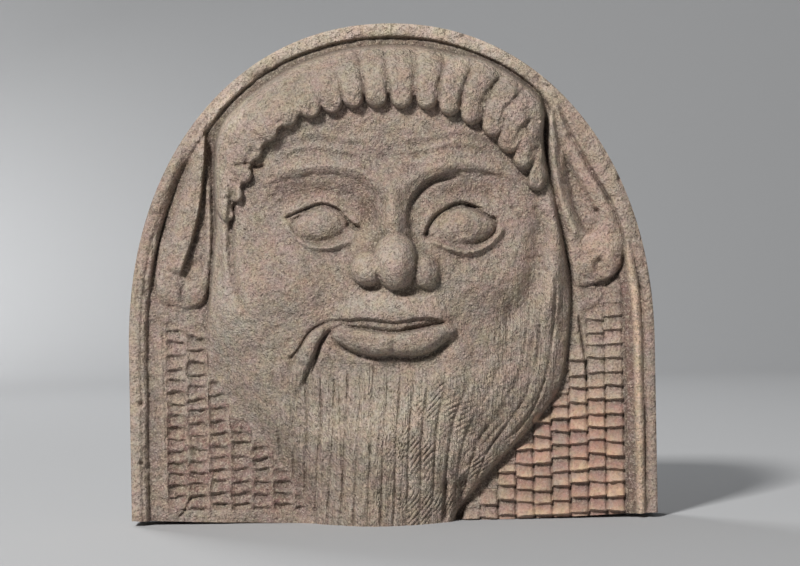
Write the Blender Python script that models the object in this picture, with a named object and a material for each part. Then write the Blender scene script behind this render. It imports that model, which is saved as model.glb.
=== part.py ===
"""A terracotta roof antefix with the mask of a silen, as one solid.

It stands upright on its underside: X runs across, Z up, and the mask looks towards -Y. The front is laid
out as heights over a flat plane, raised on a grid that is spread over the arch, and closed by a flat back.
"""

from math import ceil, cos, pi, radians, sin

import bmesh
import bpy
import numpy as np

NAME = "antefix"

# Everything below is in millimetres until the mesh is made; MM turns it into metres.
MM = 0.001

# The arch: upright sides, then a rounded arch up to the top
ARCH_MIDDLE = 1.7
ARCH_HALF_WIDTH = 110.0
ARCH_SPRING = 76.0
ARCH_TOP = 212.3
ARCH_RISE_POWER = 2.15
ARCH_WIDTH_POWER = 2.1

# Depths: heights are measured forwards from the plane of the rim's front
RIM_TO_BACK = 26.0
PANEL_FLOOR = -4.5
RECESS_FLOOR = -6.0
LEDGE_FLOOR = -3.4
RIM_ROUNDING = 2.4

# The relief tapers towards its middle as it rises, to leave its mould
TAPER = 1.0 / 1050.0
TAPER_X, TAPER_Z = 3.8, 103.7

# Underside: flat in the middle, eased up towards the corners
FOOT_Z = 3.6
FOOT_FLAT_HALF = 34.0
FOOT_EASE = 2.2

# How far in from a border its depth is followed, a height below everything, and how wide the moulding is
# on the right foot
FAR = 60.0
NOWHERE = -99.0
FOOT_BAND = 12.2

# The long strands of the beard
STRAND_WIDTH = 5.4
STRAND_LINE = 0.8
STRAND_DEPTH = 1.0

# The grid, and the triangles kept of it
LATTICE_STEP = 0.5
GRID_ACROSS = 231
GRID_UP = 201
SHOULDER = 0.316
TRIANGLES_KEPT = 9300

# Fired clay
CLAY_COLOUR = (0.36, 0.27, 0.20, 1.0)
CLAY_ROUGHNESS = 0.9


# ---- the carver's tools -------------------------------------------------------------------


def smoothstep(low, high, value):
    t = np.clip((value - low) / (high - low), 0.0, 1.0)
    return t * t * (3.0 - 2.0 * t)


def soft_max(a, b, blend):
    """The higher of two surfaces, with the crease between them filled over a width of blend."""
    share = np.clip(0.5 + 0.5 * (a - b) / blend, 0.0, 1.0)
    return b + (a - b) * share + blend * share * (1.0 - share)


def through(values, t):
    """A smooth curve (Catmull-Rom) through evenly spaced values, read at t from 0 to 1."""
    v = np.atleast_2d(np.asarray(values, float).T).T
    v = np.vstack([2 * v[0] - v[1], v, 2 * v[-1] - v[-2]])
    spot = np.clip(t, 0.0, 1.0) * (len(v) - 3)
    i = np.minimum(spot.astype(int), len(v) - 4)
    f = (spot - i)[..., None]
    a, b, c, d = v[i], v[i + 1], v[i + 2], v[i + 3]
    bend = (2 * a - 5 * b + 4 * c - d) * f**2 + (3 * b - a - 3 * c + d) * f**3
    return 0.5 * (2 * b + (c - a) * f + bend)


def spline(points, spacing=0.8):
    """Points at about the given spacing along a smooth curve through a few points."""
    spans = np.linalg.norm(np.diff(np.asarray(points, float), axis=0), axis=1)
    steps = [np.arange(max(1, ceil(span / spacing))) for span in spans]
    t = np.concatenate([i + step / len(step) for i, step in enumerate(steps)] + [[len(spans)]])
    return through(points, t / len(spans))


def arch_half_width(z):
    up = np.clip((z - ARCH_SPRING) / (ARCH_TOP - ARCH_SPRING), 0.0, 1.0)
    return ARCH_HALF_WIDTH * (1.0 - up**ARCH_RISE_POWER) ** (1.0 / ARCH_WIDTH_POWER)


def arch_outline(foot, count=240):
    """The arch from its left foot over the top to its right foot."""
    z = ARCH_SPRING + (ARCH_TOP - ARCH_SPRING) * np.sin(np.linspace(0.0, pi / 2, count))
    left = np.stack([ARCH_MIDDLE - arch_half_width(z), z], axis=1)
    right = np.stack([ARCH_MIDDLE + arch_half_width(z), z], axis=1)[::-1]
    feet = [[ARCH_MIDDLE - ARCH_HALF_WIDTH, foot]], [[ARCH_MIDDLE + ARCH_HALF_WIDTH, foot]]
    return np.vstack([feet[0], left, right[1:], feet[1]])


class Carving:
    """A clay slab seen from in front: heights over a fine lattice of x and z, worked with a few tools."""

    def __init__(self, step):
        self.step = step
        self.left, self.low = ARCH_MIDDLE - ARCH_HALF_WIDTH - 4.0, -8.0
        across = np.arange(self.left, ARCH_MIDDLE + ARCH_HALF_WIDTH + 4.0, step)
        self.rows = np.arange(self.low, ARCH_TOP + 4.0, step)
        self.x, self.z = np.meshgrid(across, self.rows)
        self.h = np.full(self.x.shape, PANEL_FLOOR)

    def window(self, x0, z0, x1, z1):
        """The part of the lattice inside a box."""
        tall, wide = self.h.shape
        i0, i1 = (int(np.clip((z - self.low) / self.step, 0, tall - 2)) for z in (z0, z1))
        j0, j1 = (int(np.clip((x - self.left) / self.step, 0, wide - 2)) for x in (x0, x1))
        return slice(i0, i1 + 2), slice(j0, j1 + 2)

    def sample(self, x, z, field=None):
        """A lattice field read between its points."""
        field = self.h if field is None else field
        i = np.clip((z - self.low) / self.step, 0, field.shape[0] - 1.001)
        j = np.clip((x - self.left) / self.step, 0, field.shape[1] - 1.001)
        i0, j0 = i.astype(int), j.astype(int)
        fi, fj = i - i0, j - j0
        low = field[i0, j0] * (1 - fj) + field[i0, j0 + 1] * fj
        high = field[i0 + 1, j0] * (1 - fj) + field[i0 + 1, j0 + 1] * fj
        return low * (1 - fi) + high * fi

    def near(self, path, reach):
        """Around a path: the window, the distance to it, the share of the way along it, and which side
        of it (+1 is left of travel)."""
        path = np.asarray(path, float)
        box = self.window(*(path.min(axis=0) - reach), *(path.max(axis=0) + reach))
        x, z = self.x[box], self.z[box]
        nearest, t, side = np.full(x.shape, np.inf), np.zeros(x.shape), np.ones(x.shape)
        span = np.diff(path, axis=0)
        length = np.maximum(np.linalg.norm(span, axis=1), 1e-9)
        start = np.concatenate([[0.0], np.cumsum(length)])
        for i, (dx, dz) in enumerate(span):
            low, high = np.minimum(path[i], path[i + 1]) - reach, np.maximum(path[i], path[i + 1]) + reach
            tall, wide = self.window(*low, *high)
            part = (slice(tall.start - box[0].start, tall.stop - box[0].start),
                    slice(wide.start - box[1].start, wide.stop - box[1].start))
            px, pz = x[part] - path[i, 0], z[part] - path[i, 1]
            share = np.clip((px * dx + pz * dz) / length[i] ** 2, 0.0, 1.0)
            away = np.hypot(px - share * dx, pz - share * dz)
            closer = away < nearest[part]
            nearest[part] = np.where(closer, away, nearest[part])
            t[part] = np.where(closer, (start[i] + share * length[i]) / start[-1], t[part])
            side[part] = np.where(closer, np.where(dx * pz - dz * px >= 0, 1.0, -1.0), side[part])
        return box, nearest, t, side

    def inside(self, outline, reach=3.0):
        """The window around a closed outline and the depth inside it, negative outside."""
        path = spline(list(outline) + [outline[0]])
        box, distance, _, _ = self.near(path, reach)
        x, z = self.x[box], self.z[box]
        odd = np.zeros(x.shape, bool)
        for (ax, az), (bx, bz) in zip(path[:-1], path[1:]):
            if az != bz:
                odd ^= ((az > z) != (bz > z)) & (x < (bx - ax) * (z - az) / (bz - az) + ax)
        return box, np.where(odd, distance, -distance)

    def line(self, points, width, height, ends=0.15, power=2.0):
        """A rounded ridge along a curve, or a groove where the height is negative."""
        box, d, t, _ = self.near(spline(points), width * 1.5)
        fade = smoothstep(0.0, ends, t) * smoothstep(0.0, ends, 1.0 - t)
        self.h[box] += height * fade * np.exp(-((d / (0.6 * width)) ** power))

    def ledge(self, points, height, edge, reach, ends=0.15):
        """A step up on the left of the curve that dies away over its reach."""
        box, d, t, side = self.near(spline(points), reach * 1.1)
        fade = smoothstep(0.0, ends, t) * smoothstep(0.0, ends, 1.0 - t)
        d = d * side
        step = smoothstep(-edge / 2, edge / 2, d) * (1.0 - smoothstep(0.0, reach, d))
        self.h[box] += height * fade * step

    def roll(self, points, radii, crests, blend=0.5, roundness=1.0):
        """A rounded strand laid on, its radius and the height of its crest changing along it."""
        box, d, t, _ = self.near(spline(points), max(radii) * 1.1)
        radius = through(radii, t)[..., 0] if len(radii) > 1 else radii[0]
        crest = through(crests, t)[..., 0] if len(crests) > 1 else crests[0]
        fall = 1.0 - np.sqrt(np.clip(1.0 - (d / radius) ** 2, 0.0, 1.0))
        top = np.where(d < radius, crest - roundness * radius * fall, NOWHERE)
        self.h[box] = soft_max(self.h[box], top, blend)

    def oval(self, x, z, half_x, half_z, turn):
        """The window around an oval and the squared share of the way from its middle to its edge."""
        reach = max(half_x, half_z)
        box = self.window(x - reach, z - reach, x + reach, z + reach)
        dx, dz = self.x[box] - x, self.z[box] - z
        c, s = cos(radians(turn)), sin(radians(turn))
        return box, ((dx * c + dz * s) / half_x) ** 2 + ((dz * c - dx * s) / half_z) ** 2

    def ball(self, x, z, half_x, half_z, crest, depth, turn=0.0, blend=0.5):
        """Part of an ellipsoid laid on, with its crest at a given height."""
        box, share = self.oval(x, z, half_x, half_z, turn)
        fall = 1.0 - np.sqrt(np.clip(1.0 - share, 0.0, 1.0))
        top = np.where(share < 1.0, crest - depth * fall, NOWHERE)
        self.h[box] = soft_max(self.h[box], top, blend)

    def dome(self, x, z, half_x, half_z, height, turn=0.0):
        """A swelling with an edge, or a pit."""
        box, share = self.oval(x, z, half_x, half_z, turn)
        self.h[box] += height * np.clip(1.0 - share, 0.0, 1.0)

    def swell(self, x, z, half_x, half_z, height, turn=0.0):
        """A swelling or a hollow with no edge: half_x and half_z are where it has lost two thirds."""
        box, share = self.oval(x, z, 2.5 * half_x, 2.5 * half_z, turn)
        self.h[box] += height * np.exp(-6.25 * share)

    def leaf(self, outline, top, edge, blend=0.6):
        """A flat leaf laid on, its border rounded."""
        box, depth = self.inside(outline)
        fall = 1.0 - np.sqrt(1.0 - (1.0 - np.clip(depth / edge, 0.0, 1.0)) ** 2)
        leaf = np.where(depth > -0.3, top - 0.55 * edge * fall, NOWHERE)
        self.h[box] = soft_max(self.h[box], leaf, blend)

    def scoop(self, outline, floor, edge):
        """A flat-bottomed hollow."""
        box, depth = self.inside(outline)
        share = smoothstep(0.0, edge, depth)
        self.h[box] = self.h[box] * (1.0 - share) + floor * share


def noise(x, z, scale, seed, octaves=2):
    """Smooth random bumps between about -1 and 1, of the given size."""
    total = np.zeros_like(x)
    weight = 0.0
    for octave in range(octaves):
        grid = np.random.default_rng(seed + octave).uniform(-1.0, 1.0, (128, 128))
        u, v = x * 2**octave / scale + 41.3, z * 2**octave / scale + 23.7
        i, j = np.floor(u).astype(int), np.floor(v).astype(int)
        fu, fv = smoothstep(0.0, 1.0, u - i), smoothstep(0.0, 1.0, v - j)
        i, j, i1, j1 = i % 128, j % 128, (i + 1) % 128, (j + 1) % 128
        near_row = grid[i, j] * (1 - fu) + grid[i1, j] * fu
        far_row = grid[i, j1] * (1 - fu) + grid[i1, j1] * fu
        total += (near_row * (1 - fv) + far_row * fv) / 2**octave
        weight += 0.5**octave
    return total / weight


# ---- the relief, part by part -------------------------------------------------------------

# The two sides of the head, from the temple down the beard to the foot
HEAD_LEFT = (
    (-70, 172), (-71.5, 150), (-71.5, 125), (-74, 102), (-75.5, 82), (-73, 62), (-61, 45), (-48, 30),
    (-39, 12), (-37, -8),
)
HEAD_RIGHT = (
    (68, 178), (67, 160), (70, 143), (74, 121), (76.8, 103), (76, 83), (72, 60), (61, 44), (45, 27.5),
    (31, 11.5), (26, 2), (25.5, -8),
)


def rim(slab):
    """The moulded band round the arch, and the depth in from the arch's edge."""
    x, z = slab.x, slab.z
    box, distance, _, _ = slab.near(arch_outline(slab.low), FAR)
    slab.edge = np.full(x.shape, FAR)
    slab.edge[box] = np.minimum(distance, FAR)
    outside = (np.abs(x - ARCH_MIDDLE) > arch_half_width(z)) | (z > ARCH_TOP)
    slab.edge[outside] *= -1.0
    e = slab.edge + 0.3 * noise(x, z, 11, 5) * smoothstep(0.5, 3, slab.edge)
    on_top = smoothstep(-48, -22, x) * smoothstep(182, 192, z)
    slab.h += (RECESS_FLOOR - PANEL_FLOOR) * smoothstep(95, 115,
                                                        z) + (LEDGE_FLOOR - RECESS_FLOOR) * on_top
    right_band = through([7.4, 10.3, 9.0, 8.8, 10.6, 9.4, 6.2, 5.8, 5.8], (z - 100) / 112)[..., 0]
    slab.band = np.where(x > ARCH_MIDDLE, right_band, 7.0 - 1.1 * smoothstep(120, 190, z))
    past = e - slab.band
    roll = -RIM_ROUNDING * np.abs((e - 0.45 * slab.band) / (0.55 * slab.band)) ** 2.6
    fall = -RIM_ROUNDING + (slab.h + RIM_ROUNDING) * smoothstep(0, 0.8, past)
    plain = np.where(past < 0, roll, fall)
    # down the right foot the band splits into a strip, a bead and a flat
    strip = np.where(e < 4.6, -1.0 - 1.6 * np.abs((e - 2.0) / 2.4) ** 3, -3.6)
    bead = np.where(np.abs(e - 7.0) < 2.3, 0.4 - 2.8 * ((e - 7.0) / 2.1) ** 2, -3.6)
    flat = np.where(e > 7.0, -2.7 - 0.2 * (e - 9.0), -3.6)
    share = smoothstep(126, 104, z) * (x > 60) * (e < FOOT_BAND)
    slab.h = plain * (1 - share) + np.maximum.reduce([strip, bead, flat]) * share
    slab.h -= 2.2 * on_top * np.exp(-(((past - 0.5) / 0.7) ** 2))
    slab.h -= 0.8 * smoothstep(-60, -80, x) * smoothstep(150, 120, z) * np.exp(-(((e - 4.9) / 0.6) ** 2))


def head(slab):
    """The mass of the head and beard: a wall at its border, a rounded shoulder and a broad swelling."""
    x, z = slab.x, slab.z
    left, right = spline(HEAD_LEFT)[::-1], spline(HEAD_RIGHT)[::-1]
    x_left = np.interp(slab.rows, left[:, 1], left[:, 0])[:, None]
    x_right = np.interp(slab.rows, right[:, 1], right[:, 0])[:, None]
    depths = []
    for border, hand, beyond in ((HEAD_LEFT, 1.0, x < x_left - 5), (HEAD_RIGHT, -1.0, x > x_right + 5)):
        box, distance, _, side = slab.near(spline(border, 1.5), FAR)
        depth = np.full(x.shape, FAR)
        depth[box] = np.where(distance < FAR, distance * side * hand, FAR)
        depths.append(np.where(beyond, -np.abs(depth), depth))
    depth = -soft_max(-depths[0], -depths[1], 5.0)
    crown = 8.6 - 1.9 * smoothstep(25, 45, x)
    depth = np.where(z > 150, -soft_max(-depth, crown - slab.edge, 5.0), depth)
    slab.depth = depth
    # the left side of the beard is worn down to a slope
    worn = smoothstep(0, -25, x) * smoothstep(98, 66, z)
    low = smoothstep(125, 95, z)
    wall = (5.0 - 2.0 * low - 2.0 * worn) * smoothstep(-0.6 - 3.0 * worn, 1.2 + 6.0 * worn, depth)
    width = 15.0 + 5.0 * low - 5.0 * smoothstep(150, 175, z)
    round_shoulder = (9.0 + 2.0 * low) * np.sqrt(1.0 - (1.0 - np.clip(depth / width, 0.0, 1.0)) ** 2)
    shoulder = round_shoulder * (1 - worn) + 11.0 * smoothstep(-4, 36, depth) * worn
    across = np.clip((2 * x - x_left - x_right) / (x_right - x_left), -1.0, 1.0)
    swelling = through([17, 16, 14.5, 13.5, 12.5, 9.5, 5, 0], slab.rows / 210.0)
    body = wall + shoulder + swelling * (1.0 - across**2) ** 0.9 * smoothstep(0, 12, depth)
    clear = slab.edge > np.where(z > 165, crown + 0.4, slab.band + 1.5)
    slab.h = np.where((depth > -5.7) & clear, np.maximum(slab.h, PANEL_FLOOR + body), slab.h)


def sides_of_face(slab):
    """The roll of hair down each side, the valley inside it, and the cheeks."""
    slab.line([(61, 143), (64, 131), (64, 119), (62.5, 107), (58.5, 97), (51.5, 88.5), (43, 82)], 7.5,
              -4.0, 0.3)
    slab.line([(69, 152), (70.5, 132), (70.6, 114), (68, 100), (63, 89), (55, 80)], 6.5, 2.6, 0.25)
    slab.line([(-63.0, 147), (-64.8, 127), (-64.0, 106), (-58, 90)], 2.4, -2.2, 0.2)
    slab.line([(-66.8, 153), (-67.9, 130), (-66.4, 102)], 3.6, 1.6, 0.2)
    slab.line([(-70.2, 150), (-70.4, 130), (-71, 108)], 2.2, -1.0, 0.2)
    slab.swell(-39, 105, 19, 12, 3.0)
    slab.swell(41, 105, 16, 12, 2.8)
    slab.swell(-24, 96, 8, 9, -2.2)
    slab.swell(30, 95, 8, 9, -2.2)
    slab.swell(2, 60, 26, 12, 1.5)


def brows(slab):
    """The sockets, the brows over them and the wrinkles of the forehead."""
    slab.swell(-30, 138, 17, 9, -3.2, turn=4)
    slab.swell(34, 137, 16, 9, -3.6, turn=-4)
    slab.swell(-12, 137, 7, 8, -2.6, turn=-20)
    slab.ledge([(-60, 142), (-46, 147.2), (-30, 150.4), (-16, 149), (-7, 144.5), (-1.5, 136)], 2.2, 2.6,
               12, 0.25)
    slab.line([(-46, 146), (-30, 148.8), (-16, 147.3), (-8, 143), (-2.5, 136)], 2.2, -0.7, 0.3)
    slab.line([(-52, 148.4), (-40, 151.4), (-24, 152.4), (-11, 150.2), (-3, 143.5)], 3.2, 0.9, 0.3)
    right_brow = [(10.5, 119), (7.6, 130), (8.6, 137.5), (14, 144.8), (27, 149.8), (42, 149), (60, 144)]
    slab.ledge(right_brow, 2.8, 1.8, 12, 0.2)
    slab.line([(11.5, 122), (9.2, 129), (9.8, 135.5), (14, 142.5), (21, 147), (32, 148.6)], 2.8, -2.8,
              0.3)
    slab.line([(6.5, 136), (9.5, 144.5), (17, 150.8), (30, 153.4), (40, 152.8), (52, 149.5)], 3.4, 1.3,
              0.25)
    slab.dome(-1, 138.4, 1.8, 2.6, -1.1)
    for z, height in ((155.5, 0.55), (160.5, 0.7), (165.5, 0.6)):
        slab.line([(-47, z - 3), (-30, z + 1.4), (-12, z - 1.3), (-3, z + 0.8)], 3.0, height, 0.3)
        slab.line([(4, z + 1), (13, z - 1.2), (32, z + 1.8), (47, z - 2.5)], 3.0, height, 0.3)
    slab.line([(1.5, 176), (1, 163), (1.5, 150)], 5.0, -1.0, 0.3)


def eye(slab, middle, half, turn, upper, lower, cut, depth, rim_height):
    """An eyeball on a low mound, between an upper lid, cut in along its edge, and a raised lower lid."""
    x, z = middle
    slab.swell(x, z + 2, 0.85 * half[0], 1.1 * half[1], 1.8, turn=turn)
    level = slab.sample(np.array(x), np.array(z))
    slab.line(lower, 1.9, rim_height, 0.12)
    slab.ball(x, z, 1.06 * half[0], 1.06 * half[1], level + 2.8, 5.0, turn=turn, blend=0.5)
    slab.ledge(upper, 1.1, 0.8, 6.5, 0.1)
    slab.line(upper, cut, -depth, 0.08)


def eyes(slab):
    """Both eyes: the right one is larger and more sharply cut."""
    eye(slab, (-26.8, 128.2), (12.6, 7.6), 8,
        [(-42.5, 131.4), (-34, 135.0), (-26.5, 137.0), (-20, 134.6), (-15.3, 130)],
        [(-42.5, 129.5), (-37, 123.6), (-32, 120.6), (-26, 119.6), (-19.5, 120.8), (-13, 123.6)], 0.9,
        1.7, 1.3)
    eye(slab, (32.6, 126.6), (13.6, 8.4), 6,
        [(16.6, 122.5), (18.2, 127.4), (22.4, 132.4), (30.5, 136.3), (37, 134.3), (45, 129.8)],
        [(18.5, 121.6), (24, 119.2), (30, 117.2), (36, 116.8), (42, 119), (46.4, 123), (48.6, 128.5)],
        1.5, 2.4, 1.8)
    slab.line([(-40, 130.2), (-36, 132.2), (-30, 134)], 0.6, -0.6)
    slab.line([(23, 130.6), (27, 133.6), (32, 134.2)], 0.6, -0.4)
    slab.line([(-25, 118.2), (-19, 119), (-12.5, 122.4)], 0.9, 0.5)
    slab.line([(30, 115), (37, 114.6), (43, 117)], 0.9, 0.4)
    slab.line([(43, 117.6), (47.5, 121.5), (50, 127.5)], 2.2, 0.7, 0.2)
    slab.dome(17.2, 123.4, 1.8, 2.6, -2.0, turn=-20)
    slab.dome(-12, 127.2, 2.6, 1.8, -1.3, turn=-15)
    slab.dome(45.8, 127.8, 1.6, 1.6, -1.0)


def nose(slab):
    """A narrow bridge, a ball of a tip and two smaller balls beside it."""
    slab.line([(2.5, 158), (2.2, 146), (2.2, 136), (3.4, 120)], 13.5, 5.0, 0.3, power=2.2)
    slab.line([(2.5, 149), (2.0, 140), (2.0, 131), (3.4, 117)], 9.5, 5.0, 0.2, power=2.4)
    slab.swell(4, 111, 15, 10, 3.0)
    slab.ball(-7.4, 109.4, 7.0, 7.2, 28.5, 8.5, turn=-10, blend=1.2)
    slab.ball(16.4, 108.0, 6.8, 7.8, 27.5, 8.5, turn=10, blend=1.2)
    slab.ball(4.2, 112.0, 9.2, 10.8, 34.0, 13.5, blend=1.2)
    slab.dome(-7.5, 101.6, 5.0, 2.2, -1.6)
    slab.dome(10.5, 99.4, 9.5, 2.6, -2.4)


def mouth(slab):
    """The upper lip set back under the moustache, and the full lower lip."""
    slab.swell(3, 95, 24, 9, 4.6)
    slab.swell(3, 94, 13, 5.5, 1.6)
    slab.swell(3, 79, 24, 9, 2.6)
    slab.swell(4, 68.5, 22, 4.5, -1.2)
    slab.ledge([(-25, 87.3), (-18, 88.4), (-9, 88.9), (2.8, 87.3), (12, 88.6), (20, 88.5), (27.5, 85)],
               1.4, 1.5, 9)
    lower_lip = [(-23, 84.5), (-22, 80.5), (-15, 76.0), (-6, 73.6), (2.4, 73.6), (11, 73.2), (19, 75.4),
                 (26, 80.6),
                 (28.4, 84), (22, 86.6), (12, 84.6), (2.8, 83.2), (-8, 84.6), (-17, 86.4)]
    box, depth = slab.inside(lower_lip)
    slab.h[box] += 1.9 * smoothstep(-0.9, 0.5, depth) + 1.6 * smoothstep(-0.5, 3.8, depth)
    slab.line([(-16, 86.8), (-8, 86.4), (2.8, 85.1), (12, 86.4), (20, 87.4)], 2.2, 1.1)
    slab.line([(-19, 86.5), (-9, 84.6), (2.8, 83.0), (12, 84.3), (20, 86.0), (25, 86.6)], 1.0, -3.4, 0.08)
    slab.line([(2.4, 73), (2.4, 76.5), (2.8, 80)], 2.0, -1.0, 0.3)
    slab.line([(-22, 80), (-15, 75), (-6, 72.6), (3, 72.7), (12, 72.2), (20, 74.6), (27, 80.4)], 1.7,
              -1.5, 0.12)


def moustache(slab):
    """One drooping strand is left, on the left of the mouth."""
    slab.roll([(-19, 88), (-25.5, 85.5), (-31, 80.5), (-35, 71), (-40, 59)],
              [1.0, 2.4, 3.6, 4.2, 1.6], [24.5, 25, 24.4, 21.5, 17.5], roundness=0.5)
    slab.line([(-16, 88.6), (-22, 88.2), (-29, 86.1), (-33.5, 82.6), (-36.5, 77.6), (-42, 71.5)], 0.9,
              -1.8, 0.08)
    slab.line([(-20, 87.2), (-24.4, 84), (-28, 79), (-30.3, 73), (-33, 67), (-37, 58.5)], 1.9, -3.6, 0.12)


# The fringe: its border through the notches and back outside the arch; each lock's tip, bend, root and
# half width; and the deeper grooves
FRINGE_BORDER = (
    (-66, 127), (-63.5, 136.5), (-60.3, 143.5), (-56.8, 151), (-50.8, 160.5), (-43.3, 169),
 (-34.3, 174.5),
    (-25, 177.6), (-16, 180.6), (-7.5, 181.5), (2.5, 182.4), (13, 181), (22, 178.6), (31.5, 175),
 (40.3, 170.6),
    (48.5, 165), (54.5, 157.5), (59.5, 149.5), (64, 141), (69, 150), (68, 176), (90, 200), (0, 240),
    (-90, 200), (-72, 170), (-70, 140),
)
LOCKS = (
    ((-65.5, 131), (-67.5, 137), (-70, 144), 3.2), ((-61, 139.5), (-65, 145), (-70, 152), 3.8),
    ((-56.8, 147.6), (-62, 153), (-70, 161), 4.2), ((-52.6, 157), (-59, 165), (-67, 176), 4.8),
    ((-46.6, 164.6), (-52, 173), (-58.5, 184.5), 5.0), ((-38.6, 170.4), (-43, 180), (-48.5, 192), 5.1),
    ((-29.4, 173.8), (-33, 184), (-37.5, 197.5), 5.2), ((-20.8, 175.6), (-23, 187), (-27, 201), 5.1),
    ((-12, 177.6), (-14, 189), (-16.5, 203.5), 5.2), ((-2.6, 177.4), (-3.5, 190), (-5.5, 205), 5.2),
    ((7.8, 177.0), (7.4, 190), (6.5, 205.5), 5.3), ((17.8, 176.4), (19, 189), (20.5, 203.5), 5.0),
    ((27.2, 173.6), (29, 185), (32.5, 200), 5.1), ((36.4, 169.6), (38, 181), (45, 195.5), 5.2),
    ((44.8, 164.4), (47.6, 175), (56.5, 190), 5.4), ((51.2, 157.6), (55, 169), (64, 184), 5.8),
    ((57, 150.4), (61, 161), (67, 176), 5.2), ((62.4, 141.6), (64.8, 150), (68, 162), 4.0),
)
LOCK_GROOVES = (
    (0.6, (1.5, 181), (0.8, 190), (0.5, 201)), (1.5, (20.6, 179), (23, 187), (27.2, 198)),
    (1.2, (31.2, 175), (33, 185), (38, 193)), (1.5, (40, 171), (41.2, 179), (46, 186), (52.5, 191)),
    (1.7, (48.4, 168), (50.5, 175), (57.5, 182.5), (61.5, 186)), (1.5, (54, 160), (57.5, 167), (62, 171)),
    (1.6, (-63.5, 153.6), (-58, 154.8), (-53, 153.4), (-49.5, 154)),
)


def fringe(slab):
    """Locks side by side, from the arch down to round tips; the left ones are worn into one mass."""
    crisp = smoothstep(-30, -10, slab.x)
    box, depth = slab.inside(FRINGE_BORDER)
    rise = np.zeros(slab.h.shape)
    rise[box] = (4.3 - 1.5 * crisp + 1.0 * smoothstep(45, 56, slab.x))[box] * smoothstep(-0.3, 1.3, depth)
    for tip, bend, root, half in LOCKS:
        way = np.subtract(bend, tip)
        start = tip + way / np.linalg.norm(way) * 0.85 * half
        box, away, t, _ = slab.near(spline([start, bend, root]), 1.4 * half)
        share = np.clip(away / (half * (0.92 + 0.36 * t)), 0.0, 1.0)
        crest = 4.9 + crisp[box] * (0.5 + 0.8 * (1.0 - t) ** 4)
        pillow = crest * np.sqrt(1.0 - share ** (8.0 - 5.0 * crisp[box]))
        rise[box] = np.where(share < 1.0, soft_max(rise[box], pillow, 0.5), rise[box])
    gap = 2.0 + 1.6 * smoothstep(-30, -60, slab.x) - 2.4 * smoothstep(30, 42, slab.x)
    rise *= smoothstep(gap, gap + 3.0, slab.edge - slab.band) * smoothstep(-0.5, 1.5, slab.depth)
    slab.h += rise
    for deep, *points in LOCK_GROOVES:
        slab.line(points, 1.5, -deep)


def left_ear(slab):
    """A long flap with a slit down its inner side and two low lobes at its end."""
    slab.leaf([(-75.5, 171), (-80, 163), (-86.5, 148), (-91.5, 133), (-95, 118), (-96.5, 105),
               (-94.5, 98),
               (-89.5, 96), (-84, 94.5), (-79, 95), (-75.2, 100), (-72.8, 118), (-72, 150)], -2.6, 2.5)
    slab.ledge([(-86.6, 107.5), (-83.2, 117), (-79.6, 128), (-77, 140), (-75.5, 152), (-74.6, 168)],
               4.2, 0.9, 10.0, 0.06)
    slab.line([(-88, 122), (-84, 134), (-80, 147), (-77, 160), (-76, 169)], 3.0, 0.8, 0.2)
    slab.scoop([(-75.4, 150), (-77.6, 134), (-83.6, 114.5), (-85.3, 107.5), (-82, 106), (-78, 107),
                (-75.2, 114),
                (-74.4, 135)], -3.9, 1.2)
    slab.line([(-86.4, 107.5), (-82.4, 117), (-78.8, 128), (-76.4, 140), (-75, 155)], 1.2, -1.6, 0.12)
    slab.line([(-74, 150), (-73.6, 130), (-74.2, 112)], 1.6, 0.9, 0.2)
    slab.dome(-80.3, 100.8, 5.6, 6.0, 2.4)
    slab.dome(-91, 104, 6.0, 9.0, 1.6)
    slab.line([(-86, 105), (-85.6, 96)], 1.8, -1.0, 0.2)
    slab.line([(-72.2, 168), (-71.3, 145), (-72.2, 120), (-74.4, 101), (-77.5, 96), (-84, 94.2)], 1.5,
              -2.4, 0.08)


def right_ear(slab):
    """A hollow leaf-shaped ear between two ridges, with a knobbed lobe."""
    slab.leaf([(84, 104), (90, 98), (87, 92.5), (81, 90.5), (78.4, 96), (77.6, 106)], -3.4, 2.0)
    slab.leaf([(70.5, 179), (77.5, 163.5), (84.5, 150.5), (90.5, 141), (95, 132), (98.2, 121),
               (98.4, 112), (96, 106.5),
               (89, 103), (80, 101.5), (77.6, 108), (72.8, 126), (69.8, 143), (67.8, 163)], -1.0, 2.0)
    slab.scoop([(74.6, 160), (83.6, 144.5), (90.5, 131), (89, 124.5), (84, 121.5), (79, 128),
                (74.2, 146)], -3.6, 3.0)
    slab.line([(77, 166), (84.5, 149), (92, 135), (95, 122)], 4.0, 0.8)
    slab.line([(69.4, 176), (70.8, 152), (75, 135), (81.5, 118.5)], 2.4, 1.3, 0.1)
    slab.line([(72.8, 176), (75, 166), (78.5, 156)], 1.8, 0.9, 0.3)
    slab.line([(71.4, 176), (72.4, 166), (74.6, 157)], 1.3, -1.4, 0.2)
    slab.dome(91.5, 117, 7.0, 7.5, 2.6)
    slab.dome(84.6, 109.6, 5.6, 5.0, 2.0)
    slab.line([(90.5, 112.5), (88, 110), (88.4, 106)], 2.6, -2.2, 0.2)
    slab.dome(88.3, 132.6, 1.6, 1.3, -1.4)
    slab.line([(67.2, 179), (67.0, 155), (70.4, 136), (75.2, 118), (77.0, 96)], 2.4, -3.0, 0.06)
    slab.line([(72.6, 178), (77.8, 165.5), (85, 152), (91.3, 141.5), (96, 132), (99.2, 121), (99.2, 111),
               (95, 104.8), (89.5, 99)], 1.2, -2.0, 0.05)


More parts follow.
